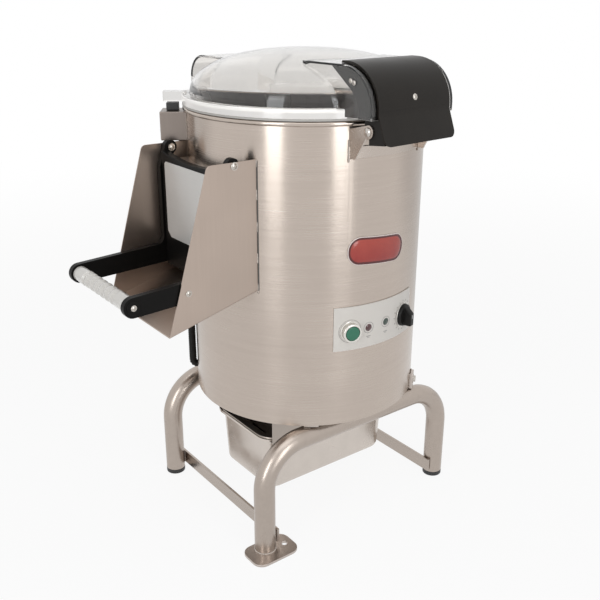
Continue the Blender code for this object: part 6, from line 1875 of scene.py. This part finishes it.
conduit_black = moulded(
    "conduit_black", (0.006, 0.0058, 0.0055), (0.015, 0.014, 0.013), 0.45, 500.0, 0.00004,
    Specular_IOR_Level=0.17)
bend_middle = (CONDUIT_REACH - CONDUIT_BEND, CONDUIT_ENTRY + CONDUIT_BEND)
side_line = [(CONDUIT_REACH, SWITCH_LOW - FIT)] + arc(bend_middle, CONDUIT_BEND, 0.0, -90.0, 8)
side_line.append((drum_inside - CONDUIT_BEND * 2.0, CONDUIT_ENTRY))
conduit = drawn_line("ribbed_conduit", [([(0.0, -out, up) for out, up in side_line], False)])
conduit = settle(grown(conduit, rib_tree(), {**CONDUIT_RIBS, "Look": conduit_black}), switch_turn)
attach(conduit, "machine")
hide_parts("cable_conduit")


# Waste pan and filter basket
# A deep-drawn gastronorm pan hangs by its rim between two folded rails; a shallow basket with
# slots in its floor hangs in it and catches the peel.

PAN_HALF_LENGTH = 0.1325
PAN_HALF_WIDTH = 0.081
PAN_RIM = 0.1405
PAN_RIM_WIDTH = 0.0075
PAN_LIP = 0.0028
PAN_DEPTH = 0.0988
PAN_WALL = 0.0012
PAN_TAPER = 0.0045
PAN_CORNER = 0.022
PAN_FOOT = 0.010
BASKET_DEPTH = 0.045
BASKET_RIM = 0.010
BASKET_SLOTS = 9
SLOT_HALF_WIDTH = 0.0016
SLOT_MARGIN = 0.030

pan_steel = ground_steel("drawn_pan_steel", (0.64, 0.58, 0.53), 0.24, (40.0, 40.0, 40.0), 0.09, 0.05)
basket_steel = ground_steel("basket_steel", (0.528, 0.493, 0.459), 0.3, (60.0, 60.0, 60.0), 0.08, 0.05)


def rounded_off(shape, edges, radius, steps):
    bmesh.ops.bevel(
        shape, geom=edges, offset=radius, offset_type="OFFSET", segments=steps, profile=0.5, affect="EDGES")


def outwards(spot, inner):
    """Which way is out at a point of a mouth with round corners."""
    away = [
        math.copysign(max(0.0, abs(part) - half + PAN_CORNER), part)
        for part, half in ((spot.x, inner.x), (spot.y, inner.y))]
    return Vector((*away, 0.0)).normalized()


def tray(name, half_length, half_width, depth, rim, level, look=None):
    """A drawn tray: tapered sides, round corners, a round foot, and a flat rim turned out."""
    shape = bmesh.new()
    bmesh.ops.create_cube(shape, size=1.0)
    inner = Vector((half_length - rim, half_width - rim, 0.0))
    for vertex in shape.verts:
        low = vertex.co.z < 0.0
        draw_in = PAN_TAPER if low else 0.0
        vertex.co.x = math.copysign(inner.x - draw_in, vertex.co.x)
        vertex.co.y = math.copysign(inner.y - draw_in, vertex.co.y)
        vertex.co.z = -depth if low else 0.0
    uprights = [edge for edge in shape.edges if abs(edge.verts[0].co.z - edge.verts[1].co.z) > depth / 2.0]
    rounded_off(shape, uprights, PAN_CORNER, 12)
    foot = [edge for edge in shape.edges if max(vertex.co.z for vertex in edge.verts) < -depth / 2.0]
    rounded_off(shape, foot, PAN_FOOT, 6)
    lids = [face for face in shape.faces if min(vertex.co.z for vertex in face.verts) > -SAME]
    bmesh.ops.delete(shape, geom=lids, context="FACES_ONLY")
    mouth = [edge for edge in shape.edges if edge.is_boundary]
    for grow, drop in ((rim, 0.0), (0.0, PAN_LIP)):
        out = bmesh.ops.extrude_edge_only(shape, edges=mouth)["geom"]
        mouth = [item for item in out if isinstance(item, bmesh.types.BMEdge)]
        for vertex in [item for item in out if isinstance(item, bmesh.types.BMVert)]:
            vertex.co += outwards(vertex.co, inner) * grow
            vertex.co.z -= drop
    bmesh.ops.recalc_face_normals(shape, faces=shape.faces)
    bottom = min(shape.faces, key=lambda face: face.calc_center_median().z)
    if bottom.normal.z > 0.0:
        bmesh.ops.reverse_faces(shape, faces=shape.faces)
    bmesh.ops.translate(shape, vec=(0.0, 0.0, level), verts=shape.verts)
    made = from_shape(name, shape)
    wall = made.modifiers.new("Sheet", "SOLIDIFY")
    wall.thickness = PAN_WALL
    wall.offset = -1.0
    return settle(made, sharp=50.0, look=look)


pan = tray("drawn_pan", PAN_HALF_LENGTH, PAN_HALF_WIDTH, PAN_DEPTH, PAN_RIM_WIDTH, PAN_RIM, pan_steel)
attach(pan, "pan")
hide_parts("waste_pan")
shift = PAN_RIM_WIDTH - BASKET_RIM / 2.0
basket_half = (PAN_HALF_LENGTH - shift, PAN_HALF_WIDTH - shift)
basket_rest = PAN_RIM + PAN_WALL + FIT
basket_floor = basket_rest - BASKET_DEPTH
basket = tray("slotted_basket", *basket_half, BASKET_DEPTH, BASKET_RIM, basket_rest)
slots = []
span, slot_half = basket_half[0] - SLOT_MARGIN, basket_half[1] - SLOT_MARGIN
for index in range(BASKET_SLOTS):
    x = -span + 2.0 * span * index / (BASKET_SLOTS - 1)
    slots.append(block(
        "basket_slot", (x - SLOT_HALF_WIDTH, -slot_half, basket_floor - BEYOND),
        (x + SLOT_HALF_WIDTH, slot_half, basket_floor + BEYOND), edge=0.0))
basket = combined("DIFFERENCE", basket, *slots, look=basket_steel)
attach(basket, "basket")
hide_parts("filter_basket")
rail_steel = sheet_finish("ground_rail_sheet", (0.42, 0.37, 0.329), 0.3, (9.0, 600.0, 600.0))
dress(rail_steel, "pan_rail_front", "pan_rail_rear")


# Studio
# A plain pale floor that runs on to a white horizon, a soft overhead light, and two tall soft
# boxes that draw the bright bands down the drum.

FLOOR_HALF = 14.0
FLOOR_BACK = math.radians(142.0)
FLOOR_WHITE = (0.90, 0.90, 0.90)
WHITE = (1.0, 1.0, 1.0)
SKY_LEVEL = 0.42
LIGHT_TINT = (0.95, 0.98, 1.0)
LIGHT_AIM = 0.36

bpy.context.scene.view_settings.view_transform = "Standard"


def seen_plainly(tree):
    """One for rays from the camera, from gloss and through clear plastic, else zero."""
    path = place(tree, "ShaderNodeLightPath")
    plain = path.reckon("MAXIMUM", path.also("Is Glossy Ray"))
    return plain.reckon("MAXIMUM", path.also("Is Transmission Ray"))


def eased(tree, value, start, end, low, high):
    """Goes smoothly from one level to another while a value runs from start to end."""
    sockets = {0: value, 1: start, 2: end, 3: low, 4: high}
    return place(tree, "ShaderNodeMapRange", {"interpolation_type": "SMOOTHSTEP"}, sockets)


def floor_finish():
    """Diffuse near the machine, plain white far off, and a little dimmer in gloss behind it."""
    made = bpy.data.materials.new("studio_floor_white")
    made.use_nodes = True
    tree = made.node_tree
    tree.nodes.clear()
    spot = apart(tree, where(tree))
    behind = spot * math.sin(FLOOR_BACK) - spot.also(1) * math.cos(FLOOR_BACK)
    dusk = eased(tree, behind, 0.1, 1.2, 0.0, 0.24)
    dim = 1.0 - dusk * place(tree, "ShaderNodeLightPath").also("Is Glossy Ray")
    fade = eased(tree, reach_of(spot, spot.also(1)), 0.7, 3.0, 0.9, 1.0)
    diffuse = place(tree, "ShaderNodeBsdfDiffuse", {}, {"Color": FLOOR_WHITE})
    glow = place(tree, "ShaderNodeEmission", {}, {"Color": WHITE, "Strength": dim})
    mix = place(tree, "ShaderNodeMixShader", {}, {0: seen_plainly(tree) * fade, 1: diffuse, 2: glow})
    place(tree, "ShaderNodeOutputMaterial", {}, {0: mix})
    return made


floor_mesh = bpy.data.meshes.new("studio_floor")
signs = ((-1, -1), (1, -1), (1, 1), (-1, 1))
floor_mesh.from_pydata([(FLOOR_HALF * x, FLOOR_HALF * y, 0.0) for x, y in signs], [], [(0, 1, 2, 3)])
floor_mesh.materials.append(floor_finish())
floor = in_scene("studio_floor", floor_mesh)

world = bpy.data.worlds.new("studio_world")
bpy.context.scene.world = world
world.use_nodes = True
sky_tree = world.node_tree
sky_tree.nodes.clear()
strength = SKY_LEVEL + seen_plainly(sky_tree) * (1.0 - SKY_LEVEL)
sky = place(sky_tree, "ShaderNodeBackground", {}, {"Color": WHITE, "Strength": strength})
place(sky_tree, "ShaderNodeOutputWorld", {}, {0: sky})


def soft_box(name, azimuth, distance, height, width, tall, power):
    """A soft box round the machine, turned to its middle."""
    data = bpy.data.lights.new(name, "AREA")
    data.shape = "RECTANGLE"
    data.size = width
    data.size_y = tall
    data.energy = power
    data.color = LIGHT_TINT
    made = in_scene(name, data)
    turn = math.radians(azimuth)
    made.location = (distance * math.sin(turn), -distance * math.cos(turn), height)
    towards = Vector((0.0, 0.0, LIGHT_AIM)) - made.location
    made.rotation_euler = towards.to_track_quat("-Z", "Y").to_euler()


soft_box("left_soft_box", -65.5, 2.4, 0.95, 0.66, 1.5, 12.9)
soft_box("right_soft_box", -5.0, 2.4, 0.95, 0.68, 1.5, 12.6)
soft_box("top_soft_box", -37.0, 0.8, 2.6, 2.0, 2.0, 12.0)
